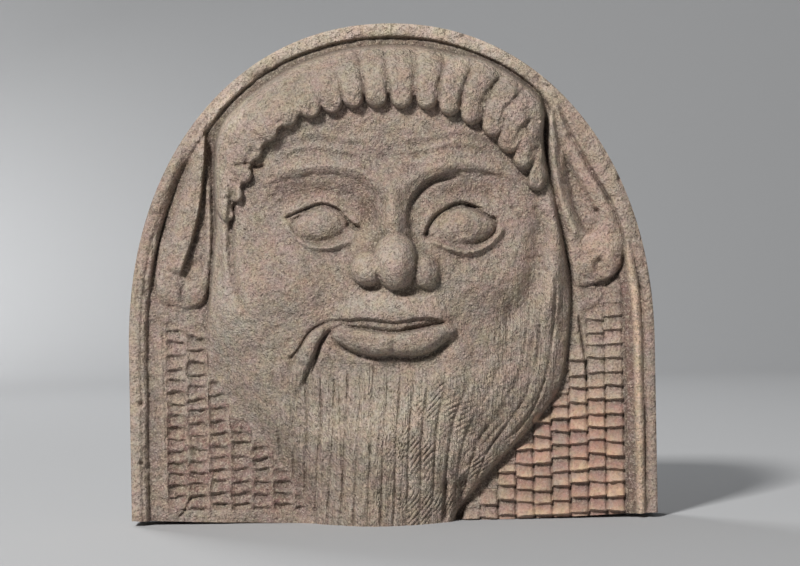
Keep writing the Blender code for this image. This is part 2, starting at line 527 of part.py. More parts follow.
def mane_column(slab, x0, x1, low, high, pitch, phase, lip, worn, chance):
    """One column of short locks like laid bricks, each with its lower lip standing over the next."""
    rows, z = [], low + phase - pitch
    while z < high + pitch:
        rows.append(z)
        z += pitch * chance.uniform(0.86, 1.14)
    rows = np.array(rows)
    tilt, lift = chance.uniform(-0.6, 0.6, len(rows)), chance.uniform(-0.3, 0.3, len(rows))
    box = slab.window(x0 - 0.5, low, x1 + 0.5, high + 1)
    x, z = slab.x[box], slab.z[box]
    across = (x - x0) / (x1 - x0)
    row = np.clip(np.searchsorted(rows, z.ravel()) - 1, 0, len(rows) - 2).reshape(z.shape)
    up = np.clip((z - rows[row] - tilt[row] * (across - 0.5)) / (rows[row + 1] - rows[row]), 0.0, 1.0)
    if worn:
        lens = 1.0 - np.abs(2.0 * across - 1.0) ** 3
        brick = 1.1 - 0.5 * lens - lip * lens * (0.5 - 0.5 * np.cos(2 * pi * up**0.7))
        over = smoothstep(4.0, 0.5, slab.depth[box])
    else:
        gap = np.exp(-((np.minimum(across, 1.0 - across) * (x1 - x0) / 0.6) ** 2))
        brick = lip * (1.0 - up) * smoothstep(-0.02, 0.13, up) - 1.5 * gap
        over = slab.depth[box] < 0.3
    fade = smoothstep(high + 1, high - 4, z)
    here = (across >= 0) & (across <= 1) & (z >= low) & (z <= high)
    slab.h[box] += np.where(here, (brick + lift[row]) * fade * over, 0.0)


def mane(slab):
    """Columns of brick-like locks on both sides of the beard: shallow on the left, crisp on the right."""
    chance = np.random.default_rng(3)
    for i, high in enumerate((90, 88, 68, 48, 38, 28, 20)):
        x0 = -93.2 + 8.85 * i
        mane_column(slab, x0, x0 + 8.85, 10, high, 5.0, chance.uniform(0, 2.4), 1.5, True, chance)
    slab.line([(-95.2, 92), (-94.6, 50), (-93.6, 12)], 1.8, 1.0, 0.08)
    for i, high in enumerate((100, 92, 76, 58, 48, 36, 27, 17)):
        x1 = 98.3 - 7.62 * i
        mane_column(slab, x1 - 7.62, x1, 2.5, high, 5.7, 4.6 - 0.35 * i, 2.7, False, chance)
    slab.line([(80, 90), (81, 80), (82.6, 70), (83, 60)], 1.0, -1.4)
    slab.line([(-76, 16.5), (-83, 15.5), (-86, 10), (-89.5, 6.5)], 0.9, -0.9)


def beard_strands(slab):
    """The beard's long strands, upright in the middle and leaning in from both sides."""
    x, z = slab.x, slab.z
    lean = 0.09 + 0.42 * smoothstep(16, 58, x) - 0.30 * smoothstep(-22, -70, x)
    place = (x - lean * (z - 30) + 1.2 * noise(x, z, 28, 77) + 2.8) / STRAND_WIDTH
    from_line = np.abs(place - np.round(place)) * STRAND_WIDTH
    patchy = noise(x, z, 13, 61)
    middle = smoothstep(70, 61, z + 4 * patchy)
    right = smoothstep(38, 52, x + 6 * patchy) * smoothstep(112, 92, z + 5 * patchy)
    left = smoothstep(-44, -56, x + 5 * patchy) * smoothstep(96, 80, z)
    worn = 1.0 - 0.75 * smoothstep(-30, -52, x) * smoothstep(20, 60, z)
    slab.hair = smoothstep(0.5, 5, slab.depth) * np.clip(middle + right + 0.6 * left, 0.0, 1.0) * worn
    soft = 1.0 - 0.55 * smoothstep(26, 48, x + 0.2 * z)
    strength = soft * np.clip(0.5 + 0.5 * noise(x, z, 22, 8), 0.1, 1.0)
    slab.h -= STRAND_DEPTH * slab.hair * strength * np.exp(-((from_line / STRAND_LINE) ** 2))
    slab.line([(28.0, 23), (27, 14), (26.5, 2)], 4.5, -4.0, 0.2)


def carve(step):
    """The whole front of the antefix."""
    slab = Carving(step)
    for part in (rim, head, sides_of_face, brows, eyes, nose, mouth, moustache, beard_strands, fringe,
                 mane,
                 left_ear, right_ear):
        part(slab)
    return slab


# ---- the mesh -----------------------------------------------------------------------------


def underside(x):
    """The height of the foot: flat in the middle, eased up to the corners."""
    past = np.abs(x - ARCH_MIDDLE) - FOOT_FLAT_HALF
    return FOOT_Z + FOOT_EASE * np.clip(past / (ARCH_HALF_WIDTH - FOOT_FLAT_HALF), 0.0, 1.0) ** 1.5


def drawn_in(x, z, h):
    """Where a point of the layout stands once the relief tapers."""
    share = 1.0 - TAPER * h
    return TAPER_X + (x - TAPER_X) * share, TAPER_Z + (z - TAPER_Z) * share


def along_border(path, start, end, count):
    """Evenly spaced points over a stretch of a path, from one share of its length to another."""
    run = np.concatenate([[0.0], np.cumsum(np.linalg.norm(np.diff(path, axis=0), axis=1))])
    at = np.linspace(start, end, count) * run[-1]
    return np.stack([np.interp(at, run, path[:, 0]), np.interp(at, run, path[:, 1])], axis=1)


def foot_line(slab, x):
    """Where the foot's front edge lies in the layout, so that the taper brings it onto the underside."""
    z = underside(x)
    for _ in range(6):
        share = 1.0 - TAPER * slab.sample(x, z)
        z = TAPER_Z + (underside(x) - TAPER_Z) / share
    return z


def fit_to_arch(slab, u, v, across, up):
    """A square's points, 0 to 1 each way, spread over the arch between its four sides."""
    outline = arch_outline(underside(ARCH_MIDDLE - ARCH_HALF_WIDTH))
    left = along_border(outline, 0.0, SHOULDER, up)
    top = along_border(outline, SHOULDER, 1.0 - SHOULDER, across)
    right = along_border(outline, 1.0, 1.0 - SHOULDER, up)
    x = np.linspace(left[0, 0], right[0, 0], across)
    bottom = np.stack([x, foot_line(slab, x)], axis=1)
    bottom[0], bottom[-1] = left[0], right[0]
    i, j = np.rint(u * (across - 1)).astype(int), np.rint(v * (up - 1)).astype(int)
    u, v = u[:, None], v[:, None]
    corners = (1 - v) * ((1 - u) * left[0] + u * right[0]) + v * ((1 - u) * left[-1] + u * right[-1])
    return (1 - v) * bottom[i] + v * top[i] + (1 - u) * left[j] + u * right[j] - corners


def front_mesh(slab, across, up):
    """A grid spread over the arch and raised to the relief."""
    mesh = bpy.data.meshes.new(NAME)
    bm = bmesh.new()
    bmesh.ops.create_grid(bm, x_segments=across - 1, y_segments=up - 1, size=0.5)
    bm.to_mesh(mesh)
    bm.free()
    spots = np.empty(len(mesh.vertices) * 3)
    mesh.vertices.foreach_get("co", spots)
    spots = spots.reshape(-1, 3)
    layout = fit_to_arch(slab, spots[:, 0] + 0.5, spots[:, 1] + 0.5, across, up)
    h = slab.sample(layout[:, 0], layout[:, 1])
    x, z = drawn_in(layout[:, 0], layout[:, 1], h)
    depth = RIM_TO_BACK + slab.h.max()
    placed = np.stack([x - ARCH_MIDDLE, depth / 2 - RIM_TO_BACK - h, z - FOOT_Z], axis=1) * MM
    mesh.vertices.foreach_set("co", placed.ravel())
    return mesh


def close_behind(mesh, back):
    """The edge of the front carried straight back to a flat back."""
    bm = bmesh.new()
    bm.from_mesh(mesh)
    edges = [edge for edge in bm.edges if edge.is_boundary]
    carried = bmesh.ops.extrude_edge_only(bm, edges=edges)["geom"]
    for item in carried:
        if isinstance(item, bmesh.types.BMVert):
            item.co.y = back
    behind = [item for item in carried if isinstance(item, bmesh.types.BMEdge)]
    bmesh.ops.contextual_create(bm, geom=behind)
    bmesh.ops.recalc_face_normals(bm, faces=bm.faces)
    bm.to_mesh(mesh)
    bm.free()


def clay():
    material = bpy.data.materials.new("terracotta")
    material.use_nodes = True
    shader = material.node_tree.nodes["Principled BSDF"]
    shader.inputs["Base Color"].default_value = CLAY_COLOUR
    shader.inputs["Roughness"].default_value = CLAY_ROUGHNESS
    shader.inputs["Metallic"].default_value = 0.0
    return material


def make_antefix(collection):
    slab = carve(LATTICE_STEP)
    mesh = front_mesh(slab, GRID_ACROSS, GRID_UP)
    close_behind(mesh, (RIM_TO_BACK + slab.h.max()) / 2 * MM)
    mesh.materials.append(clay())
    mesh.shade_smooth()
    mesh.set_sharp_from_angle(angle=radians(40))
    antefix = bpy.data.objects.new(NAME, mesh)
    collection.objects.link(antefix)
    triangulate = antefix.modifiers.new("triangles", "TRIANGULATE")
    triangulate.min_vertices = 4
    thin = antefix.modifiers.new("fewer triangles", "DECIMATE")
    thin.ratio = TRIANGLES_KEPT / (2 * (GRID_ACROSS - 1) * (GRID_UP - 1) + 6 * (GRID_ACROSS + GRID_UP))
    return antefix


def main():
    for old in list(bpy.data.objects):
        bpy.data.objects.remove(old)
    collection = bpy.data.collections.new(NAME)
    bpy.context.scene.collection.children.link(collection)
    make_antefix(collection)


main()
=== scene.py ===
"""The finished terracotta of the roof antefix, its floor, light and camera.

The front is carved again as finely as the fired clay shows it, closed by rough sides and a smoothed back,
and stands for the plain solid of the frame.
"""

from math import ceil, cos, pi, radians, sin

import bmesh
import bpy
import numpy as np
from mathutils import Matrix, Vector


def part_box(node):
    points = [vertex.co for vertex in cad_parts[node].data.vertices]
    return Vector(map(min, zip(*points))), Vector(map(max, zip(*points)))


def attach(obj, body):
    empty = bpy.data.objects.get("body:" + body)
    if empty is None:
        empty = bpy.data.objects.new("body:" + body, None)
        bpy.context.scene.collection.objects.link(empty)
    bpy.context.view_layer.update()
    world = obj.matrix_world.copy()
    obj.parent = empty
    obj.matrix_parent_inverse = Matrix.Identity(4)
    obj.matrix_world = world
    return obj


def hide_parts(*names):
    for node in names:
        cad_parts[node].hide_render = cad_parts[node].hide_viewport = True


NAME = "antefix"
PIECE = "silen_antefix"

# Everything below is in millimetres until the mesh is made; MM turns it into metres.
MM = 0.001

# The arch: upright sides, then a rounded arch up to the top
ARCH_MIDDLE = 1.7
ARCH_HALF_WIDTH = 110.0
ARCH_SPRING = 76.0
ARCH_TOP = 212.3
ARCH_RISE_POWER = 2.15
ARCH_WIDTH_POWER = 2.1

# Depths: heights are measured forwards from the plane of the rim's front
RIM_TO_BACK = 26.0
PANEL_FLOOR = -4.5
RECESS_FLOOR = -6.0
LEDGE_FLOOR = -3.0
RIM_ROUNDING = 2.4

# The relief tapers towards its middle as it rises, to leave its mould
TAPER = 1.0 / 1050.0
TAPER_X, TAPER_Z = 3.8, 103.7

# Underside: flat in the middle, eased up towards the corners
FOOT_Z = 3.6
FOOT_FLAT_HALF = 34.0
FOOT_EASE = 2.2

# The moulding down the right foot, by its distance in from the edge: a strip, a bead and a flat
FOOT_STRIP = 4.6
BEAD_MIDDLE = 7.0
FOOT_BAND = 12.2
MOULDING_FLOOR = -3.6

# How far in from a border its depth is followed, and a height below everything
FAR = 60.0
NOWHERE = -99.0

# The mane on each side: where its outer column stands, and how wide and how tall its bricks are
LEFT_MANE, LEFT_BRICK, LEFT_COURSE = -93.2, 8.85, 5.0
RIGHT_MANE, RIGHT_BRICK, RIGHT_COURSE = 98.3, 7.62, 5.7

# The long strands of the beard, the lines between them, and how wide a stretch they bend in
STRAND_WIDTH = 5.4
STRAND_LINE = 0.6
STRAND_DEPTH = 1.6
STRAND_BEND = 30.0

# The lattice: its step, how far it reaches past the arch, and where it begins below
LATTICE_STEP = 0.35
LATTICE_MARGIN = 4.0
LATTICE_LOW = -8.0

# The grid of the front and its share of the arch for each side, the rings of the sides, how far the last
# of them lies before the back, the grid of the back, and what is kept of it all
GRID_ACROSS, GRID_UP = 511, 441
SHOULDER = 0.316
SIDE_RINGS = 13
BACK_ROUNDING = 1.2
BACK_ACROSS, BACK_UP = 116, 104
TRIANGLES_KEPT = 196000
SHARP_ANGLE = 50

# How far before the back the stains and painted light and shade of the front begin, and where they are
# whole
COLOUR_MARKS_BEGIN, COLOUR_MARKS_WHOLE = 12.0, 19.0


# ---- the carver's tools -------------------------------------------------------------------


def smoothstep(low, high, value):
    t = np.clip((value - low) / (high - low), 0.0, 1.0)
    return t * t * (3.0 - 2.0 * t)


def soft_max(a, b, blend):
    """The higher of two surfaces, with the crease between them filled over a width of blend."""
    share = np.clip(0.5 + 0.5 * (a - b) / blend, 0.0, 1.0)
    return b + (a - b) * share + blend * share * (1.0 - share)


def through(values, t):
    """A smooth curve (Catmull-Rom) through evenly spaced values, read at t from 0 to 1."""
    v = np.atleast_2d(np.asarray(values, float).T).T
    v = np.vstack([2 * v[0] - v[1], v, 2 * v[-1] - v[-2]])
    spot = np.clip(t, 0.0, 1.0) * (len(v) - 3)
    i = np.minimum(spot.astype(int), len(v) - 4)
    f = (spot - i)[..., None]
    a, b, c, d = v[i], v[i + 1], v[i + 2], v[i + 3]
    bend = (2 * a - 5 * b + 4 * c - d) * f**2 + (3 * b - a - 3 * c + d) * f**3
    return 0.5 * (2 * b + (c - a) * f + bend)


def spline(points, spacing=0.8):
    """Points at about the given spacing along a smooth curve through a few points."""
    spans = np.linalg.norm(np.diff(np.asarray(points, float), axis=0), axis=1)
    steps = [np.arange(max(1, ceil(span / spacing))) for span in spans]
    t = np.concatenate([i + step / len(step) for i, step in enumerate(steps)] + [[len(spans)]])
    return through(points, t / len(spans))


def arch_half_width(z):
    up = np.clip((z - ARCH_SPRING) / (ARCH_TOP - ARCH_SPRING), 0.0, 1.0)
    return ARCH_HALF_WIDTH * (1.0 - up**ARCH_RISE_POWER) ** (1.0 / ARCH_WIDTH_POWER)


def arch_outline(foot):
    """The arch from its left foot over the top to its right foot."""
    z = ARCH_SPRING + (ARCH_TOP - ARCH_SPRING) * np.sin(np.linspace(0.0, pi / 2, 240))
    left = np.stack([ARCH_MIDDLE - arch_half_width(z), z], axis=1)
    right = np.stack([ARCH_MIDDLE + arch_half_width(z), z], axis=1)[::-1]
    left_foot, right_foot = (ARCH_MIDDLE - ARCH_HALF_WIDTH, foot), (ARCH_MIDDLE + ARCH_HALF_WIDTH, foot)
    return np.vstack([left_foot, left, right[1:], right_foot])


class Carving:
    """A clay slab seen from in front: heights over a fine lattice of x and z, worked with a few tools."""

    def __init__(self, step):
        self.step = step
        self.left, self.low = ARCH_MIDDLE - ARCH_HALF_WIDTH - LATTICE_MARGIN, LATTICE_LOW
        across = np.arange(self.left, ARCH_MIDDLE + ARCH_HALF_WIDTH + LATTICE_MARGIN, step)
        self.rows = np.arange(self.low, ARCH_TOP + LATTICE_MARGIN, step)
        self.x, self.z = np.meshgrid(across, self.rows)
        self.h = np.full(self.x.shape, PANEL_FLOOR)

    def window(self, x0, z0, x1, z1):
        """The part of the lattice inside a box."""
        tall, wide = self.h.shape
        i0, i1 = (int(np.clip((z - self.low) / self.step, 0, tall - 2)) for z in (z0, z1))
        j0, j1 = (int(np.clip((x - self.left) / self.step, 0, wide - 2)) for x in (x0, x1))
        return slice(i0, i1 + 2), slice(j0, j1 + 2)

    def sample(self, x, z, field=None):
        """A lattice field read between its points."""
        field = self.h if field is None else field
        i = np.clip((z - self.low) / self.step, 0, field.shape[0] - 1.001)
        j = np.clip((x - self.left) / self.step, 0, field.shape[1] - 1.001)
        i0, j0 = i.astype(int), j.astype(int)
        fi, fj = i - i0, j - j0
        low = field[i0, j0] * (1 - fj) + field[i0, j0 + 1] * fj
        high = field[i0 + 1, j0] * (1 - fj) + field[i0 + 1, j0 + 1] * fj
        return low * (1 - fi) + high * fi

    def near(self, path, reach):
        """Around a path: the window, the distance to it, the share of the way along it, and which side
        of it (+1 is left of travel)."""
        path = np.asarray(path, float)
        box = self.window(*(path.min(axis=0) - reach), *(path.max(axis=0) + reach))
        x, z = self.x[box], self.z[box]
        nearest, t, side = np.full(x.shape, np.inf), np.zeros(x.shape), np.ones(x.shape)
        span = np.diff(path, axis=0)
        length = np.maximum(np.linalg.norm(span, axis=1), 1e-9)
        start = np.concatenate([[0.0], np.cumsum(length)])
        for i, (dx, dz) in enumerate(span):
            low, high = np.minimum(path[i], path[i + 1]) - reach, np.maximum(path[i], path[i + 1]) + reach
            tall, wide = self.window(*low, *high)
            part = (slice(tall.start - box[0].start, tall.stop - box[0].start),
                    slice(wide.start - box[1].start, wide.stop - box[1].start))
            px, pz = x[part] - path[i, 0], z[part] - path[i, 1]
            share = np.clip((px * dx + pz * dz) / length[i] ** 2, 0.0, 1.0)
            away = np.hypot(px - share * dx, pz - share * dz)
            closer = away < nearest[part]
            nearest[part] = np.where(closer, away, nearest[part])
            t[part] = np.where(closer, (start[i] + share * length[i]) / start[-1], t[part])
            side[part] = np.where(closer, np.where(dx * pz - dz * px >= 0, 1.0, -1.0), side[part])
        return box, nearest, t, side

    def inside(self, outline):
        """The window around a closed outline and the depth inside it, negative outside."""
        path = spline(list(outline) + [outline[0]])
        box, distance, _, _ = self.near(path, 3.0)
        x, z = self.x[box], self.z[box]
        odd = np.zeros(x.shape, bool)
        for (ax, az), (bx, bz) in zip(path[:-1], path[1:]):
            if az != bz:
                odd ^= ((az > z) != (bz > z)) & (x < (bx - ax) * (z - az) / (bz - az) + ax)
        return box, np.where(odd, distance, -distance)

    def line(self, points, width, height, ends=0.15, power=2.0):
        """A rounded ridge along a curve, or a groove where the height is negative."""
        box, d, t, _ = self.near(spline(points), width * 1.5)
        fade = smoothstep(0.0, ends, t) * smoothstep(0.0, ends, 1.0 - t)
        self.h[box] += height * fade * np.exp(-((d / (0.6 * width)) ** power))

    def lines(self, *rows):
        """Several ridges and grooves, each row as line takes it."""
        for row in rows:
            self.line(*row)

    def ledge(self, points, height, edge, reach, ends=0.15):
        """A step up on the left of the curve that dies away over its reach."""
        box, d, t, side = self.near(spline(points), reach * 1.1)
        fade = smoothstep(0.0, ends, t) * smoothstep(0.0, ends, 1.0 - t)
        d = d * side
        step = smoothstep(-edge / 2, edge / 2, d) * (1.0 - smoothstep(0.0, reach, d))
        self.h[box] += height * fade * step

    def roll(self, points, radii, crests, roundness):
        """A rounded strand laid on, its radius and the height of its crest changing along it."""
        box, d, t, _ = self.near(spline(points), max(radii) * 1.1)
        radius, crest = through(radii, t)[..., 0], through(crests, t)[..., 0]
        fall = 1.0 - np.sqrt(np.clip(1.0 - (d / radius) ** 2, 0.0, 1.0))
        top = np.where(d < radius, crest - roundness * radius * fall, NOWHERE)
        self.h[box] = soft_max(self.h[box], top, 0.5)

    def oval(self, x, z, half_x, half_z, turn):
        """The window around an oval and the squared share of the way from its middle to its edge."""
        reach = max(half_x, half_z)
        box = self.window(x - reach, z - reach, x + reach, z + reach)
        dx, dz = self.x[box] - x, self.z[box] - z
        c, s = cos(radians(turn)), sin(radians(turn))
        return box, ((dx * c + dz * s) / half_x) ** 2 + ((dz * c - dx * s) / half_z) ** 2

    def ball(self, x, z, half_x, half_z, crest, depth, blend, turn=0.0):
        """Part of an ellipsoid laid on, with its crest at a given height."""
        box, share = self.oval(x, z, half_x, half_z, turn)
        fall = 1.0 - np.sqrt(np.clip(1.0 - share, 0.0, 1.0))
        top = np.where(share < 1.0, crest - depth * fall, NOWHERE)
        self.h[box] = soft_max(self.h[box], top, blend)

    def dome(self, x, z, half_x, half_z, height, turn=0.0):
        """A swelling with an edge, or a pit."""
        box, share = self.oval(x, z, half_x, half_z, turn)
        self.h[box] += height * np.clip(1.0 - share, 0.0, 1.0)

    def swell(self, x, z, half_x, half_z, height, turn=0.0):
        """A swelling or a hollow with no edge: half_x and half_z are where it has lost two thirds."""
        box, share = self.oval(x, z, 2.5 * half_x, 2.5 * half_z, turn)
        self.h[box] += height * np.exp(-6.25 * share)

    def leaf(self, outline, top, edge):
        """A flat leaf laid on, its border rounded."""
        box, depth = self.inside(outline)
        fall = 1.0 - np.sqrt(1.0 - (1.0 - np.clip(depth / edge, 0.0, 1.0)) ** 2)
        leaf = np.where(depth > -0.3, top - 0.55 * edge * fall, NOWHERE)
        self.h[box] = soft_max(self.h[box], leaf, 0.6)

    def scoop(self, outline, floor, edge):
        """A flat-bottomed hollow."""
        box, depth = self.inside(outline)
        share = smoothstep(0.0, edge, depth)
        self.h[box] = self.h[box] * (1.0 - share) + floor * share


def noise(x, z, scale, seed, octaves=2):
    """Smooth random bumps between about -1 and 1, of the given size; each seed gives other ones."""
    total = np.zeros_like(x)
    weight = 0.0
    for octave in range(octaves):
        grid = np.random.default_rng(seed + octave).uniform(-1.0, 1.0, (128, 128))
        u, v = x * 2**octave / scale + 41.3, z * 2**octave / scale + 23.7
        i, j = np.floor(u).astype(int), np.floor(v).astype(int)
        fu, fv = smoothstep(0.0, 1.0, u - i), smoothstep(0.0, 1.0, v - j)
        i, j, i1, j1 = i % 128, j % 128, (i + 1) % 128, (j + 1) % 128
        near_row = grid[i, j] * (1 - fu) + grid[i1, j] * fu
        far_row = grid[i, j1] * (1 - fu) + grid[i1, j1] * fu
        total += (near_row * (1 - fv) + far_row * fv) / 2**octave
        weight += 0.5**octave
    return total / weight


# ---- the relief, part by part -------------------------------------------------------------

# The two sides of the head, from the temple down the beard to the foot
HEAD_LEFT = (
    (-70, 172), (-71.5, 150), (-71.5, 125), (-74, 102), (-75.5, 82), (-73, 62), (-61, 45), (-48, 30),
    (-39, 12), (-37, -8),
)
HEAD_RIGHT = (
    (68, 178), (67, 160), (70, 143), (74, 121), (76.8, 103), (76, 83), (72, 60), (61, 44), (45, 27.5),
    (31, 11.5), (26, 2), (25.5, -8),
)


def rim(slab):
    """The moulded band round the arch, and the depth in from the arch's edge."""
    x, z = slab.x, slab.z
    box, distance, _, _ = slab.near(arch_outline(slab.low), FAR)
    slab.edge = np.full(x.shape, FAR)
    slab.edge[box] = np.minimum(distance, FAR)
    outside = (np.abs(x - ARCH_MIDDLE) > arch_half_width(z)) | (z > ARCH_TOP)
    slab.edge[outside] *= -1.0
    e = slab.edge + 0.3 * noise(x, z, 11, 5) * smoothstep(0.5, 3, slab.edge)
    on_top = smoothstep(150, 180, z)
    recess = PANEL_FLOOR + (RECESS_FLOOR - PANEL_FLOOR) * smoothstep(95, 115, z)
    ledge = LEDGE_FLOOR + 1.0 * smoothstep(0, -50, x) + 1.4 * smoothstep(10, 40, x)
    slab.h = recess + (ledge - recess) * on_top
    right_band = through([7.4, 10.3, 9.0, 8.8, 10.6, 9.4, 6.2, 5.8, 5.8], (z - 100) / 112)[..., 0]
    slab.band = np.where(x > ARCH_MIDDLE, right_band, 7.0 - 1.1 * smoothstep(120, 190, z))
    past = e - slab.band
    flatness = 2.6 + 4.0 * on_top
    roll = -RIM_ROUNDING * np.abs((e - 0.45 * slab.band) / (0.55 * slab.band)) ** flatness
    fall = -RIM_ROUNDING + (slab.h + RIM_ROUNDING) * smoothstep(0, 0.8, past)
    plain = np.where(past < 0, roll, fall)
    # down the right foot the band splits into a strip, a bead and a flat
    strip = np.where(e < FOOT_STRIP, -1.0 - 1.6 * np.abs((e - 2.0) / 2.4) ** 3, MOULDING_FLOOR)
    from_bead = e - BEAD_MIDDLE
    bead = np.where(np.abs(from_bead) < 2.3, 0.4 - 2.8 * (from_bead / 2.1) ** 2, MOULDING_FLOOR)
    flat = np.where(from_bead > 0, -2.7 - 0.2 * (e - 9.0), MOULDING_FLOOR)
    share = smoothstep(126, 104, z) * (x > 60) * (e < FOOT_BAND)
    slab.h = plain * (1 - share) + np.maximum.reduce([strip, bead, flat]) * share
    slab.h -= 0.9 * on_top * np.exp(-(((past - 0.4) / 0.45) ** 2))
    slab.h -= 0.8 * smoothstep(-60, -80, x) * smoothstep(150, 120, z) * np.exp(-(((e - 4.9) / 0.6) ** 2))


def head(slab):
    """The mass of the head and beard: a wall at its border, a rounded shoulder and a broad swelling."""
    x, z = slab.x, slab.z
    left, right = spline(HEAD_LEFT)[::-1], spline(HEAD_RIGHT)[::-1]
    x_left = np.interp(slab.rows, left[:, 1], left[:, 0])[:, None]
    x_right = np.interp(slab.rows, right[:, 1], right[:, 0])[:, None]
    depths = []
    for border, hand, beyond in ((HEAD_LEFT, 1.0, x < x_left - 5), (HEAD_RIGHT, -1.0, x > x_right + 5)):
        box, distance, _, side = slab.near(spline(border, 1.5), FAR)
        depth = np.full(x.shape, FAR)
        depth[box] = np.where(distance < FAR, distance * side * hand, FAR)
        depths.append(np.where(beyond, -np.abs(depth), depth))
    depth = -soft_max(-depths[0], -depths[1], 5.0)
    crown = 8.6 - 1.9 * smoothstep(25, 45, x)
    depth = np.where(z > 150, -soft_max(-depth, crown - slab.edge, 5.0), depth)
    slab.depth = depth
    # the left side of the beard is worn down to a slope
    worn = smoothstep(0, -25, x) * smoothstep(98, 66, z)
    low = smoothstep(125, 95, z)
    right = smoothstep(20, 50, x)
    thin = right * smoothstep(112, 84, z)
    crown_share = smoothstep(150, 175, z)
    wall = 5.0 - 2.0 * low - 2.0 * worn - 1.2 * right
    wall *= smoothstep(-0.6 - 3.0 * worn, 1.2 + 6.0 * worn, depth)
    foot = smoothstep(-16, 38, x) * smoothstep(66, 36, z)
    width = 15.0 + 5.0 * low + 7.0 * crown_share * (1 - right) - 5.0 * right - 8.5 * thin
    width += (5.0 - width) * foot
    rise = 10.5 + 1.5 * low + 3.0 * crown_share - 3.5 * right - 2.5 * thin
    rise += (6.5 - rise) * foot
    round_shoulder = rise * np.sqrt(1.0 - (1.0 - np.clip(depth / width, 0.0, 1.0)) ** 2)
    shoulder = round_shoulder * (1 - worn) + 9.5 * smoothstep(-4, 38, depth) * worn
    across = np.clip((2 * x - x_left - x_right) / (x_right - x_left), -1.0, 1.0)
    swelling = through([9, 9.5, 9, 8, 7, 6, 4, 0], slab.rows / 210.0)
    plateau = (1.0 - np.abs(across) ** 3.2) ** 0.9
    gentle = np.clip(depth / 42.0, 0.0, 1.0)
    outward = smoothstep(0, 20 - 13 * right + 16 * worn, depth)
    outward += (gentle - outward) * foot
    bulge = 5.5 * np.exp(-(((z - 33) / 18) ** 2)) * outward
    inward = smoothstep(0, 12 - 4 * thin, depth)
    inward += (gentle - inward) * foot
    body = wall + shoulder + swelling * plateau * inward + bulge
    clear = slab.edge > np.where(z > 165, crown + 0.4, slab.band + 1.5)
    slab.h = np.where((depth > -5.7) & clear, np.maximum(slab.h, PANEL_FLOOR + body), slab.h)


def sides_of_face(slab):
    """The roll of hair down each side, the valley inside it, and the cheeks."""
    slab.lines(
        ([(61, 143), (64, 131), (64, 119), (62.5, 107), (58.5, 97), (51.5, 88.5), (43, 82)], 7.5, -4.0,
          0.3),
        ([(69, 152), (70.5, 132), (71, 114), (69.5, 100), (66, 89), (60, 78)], 7.0, 4.6, 0.25),
        ([(-63.0, 149), (-64.8, 127), (-64.0, 106), (-58, 90)], 2.8, -3.0, 0.2),
        ([(-66.8, 155), (-67.9, 130), (-66.4, 102)], 3.6, 2.3, 0.2),
        ([(-70.2, 156), (-70.4, 130), (-71, 104)], 1.3, -1.5, 0.2),
        ([(-68.6, 142), (-69.0, 122), (-69.4, 98)], 1.1, -1.0, 0.2),
        ([(-72.6, 162), (-72.2, 140), (-72.4, 120), (-73.2, 103)], 2.6, 1.4, 0.2),
    )
    slab.swell(-39, 105, 19, 12, 3.0)
    slab.swell(41, 105, 16, 12, 2.8)
    slab.swell(-24, 96, 8, 9, -2.2)
    slab.swell(30, 95, 8, 9, -2.2)


def brows(slab):
    """The sockets, the brows over them and the wrinkles of the forehead."""
    slab.swell(-30, 137, 18, 14, -5.0, turn=4)
    slab.swell(34, 138, 16, 9, -4.0, turn=-4)
    slab.swell(-12, 137, 7, 8, -2.6, turn=-20)
    slab.ledge([(-56, 139), (-44, 143), (-30, 145), (-16, 144), (-7, 139.5)], 2.2, 9.0, 20, 0.25)
    slab.ledge([(-60, 142), (-46, 147), (-30, 150), (-16, 149), (-7, 144.5), (-1.5, 137)], 1.1, 1.5, 12,
                0.25)
    slab.line([(-52, 149), (-40, 152.2), (-24, 153.2), (-11, 151), (-3, 144)], 3.4, 2.0, 0.2)
    slab.ledge([(11.5, 119), (9.2, 130), (10.2, 137), (15, 144.2), (23, 148.6), (32, 149.8)], 2.7, 2.2,
                13, 0.22)
    slab.ledge([(22, 148.4), (32, 150.2), (44, 149), (60, 144)], 1.3, 1.6, 10, 0.25)
    slab.lines(
        ([(10.2, 133), (12.4, 138.4), (16, 142.6), (22.6, 146.4), (34, 148)], 2.0, -2.2, 0.3),
        ([(6.0, 136), (8.8, 143.8), (16, 150.2), (29, 153.2), (40, 152.4), (52, 149)], 3.4, 1.9, 0.25),
    )
    slab.dome(-0.6, 137.6, 2.0, 3.0, -2.4)
    for z, height in ((155.5, 0.8), (160.2, 1.1), (165.2, 0.9)):
        slab.line([(-47, z - 3), (-30, z + 1.4), (-12, z - 1.3), (-3, z + 0.8)], 2.4, height, 0.3)
        slab.line([(4, z + 1), (13, z - 1.2), (32, z + 1.8), (47, z - 2.5)], 2.4, height, 0.3)
    slab.line([(1.5, 176), (1, 163), (1.5, 150)], 5.0, -1.0, 0.3)


def eye(slab, middle, half, turn, upper, lower, cut, depth, rim_height):
    """An eyeball on a low mound, between an upper lid, cut in along its edge, and a raised lower lid."""
    x, z = middle
    slab.swell(x, z + 2, 0.85 * half[0], 1.1 * half[1], 1.4, turn=turn)
    level = slab.sample(np.array(x), np.array(z))
    slab.dome(x, z, 1.15 * half[0], 1.15 * half[1], -2.2, turn=turn)
    slab.ball(x, z, half[0], half[1], level + 3.9, 8.8, 0.3, turn)
    slab.line(lower, 1.9, rim_height, 0.1)
    slab.ledge(upper, 1.3, 1.2, 6.5, 0.06)
    slab.line(upper, cut, -depth, 0.05)


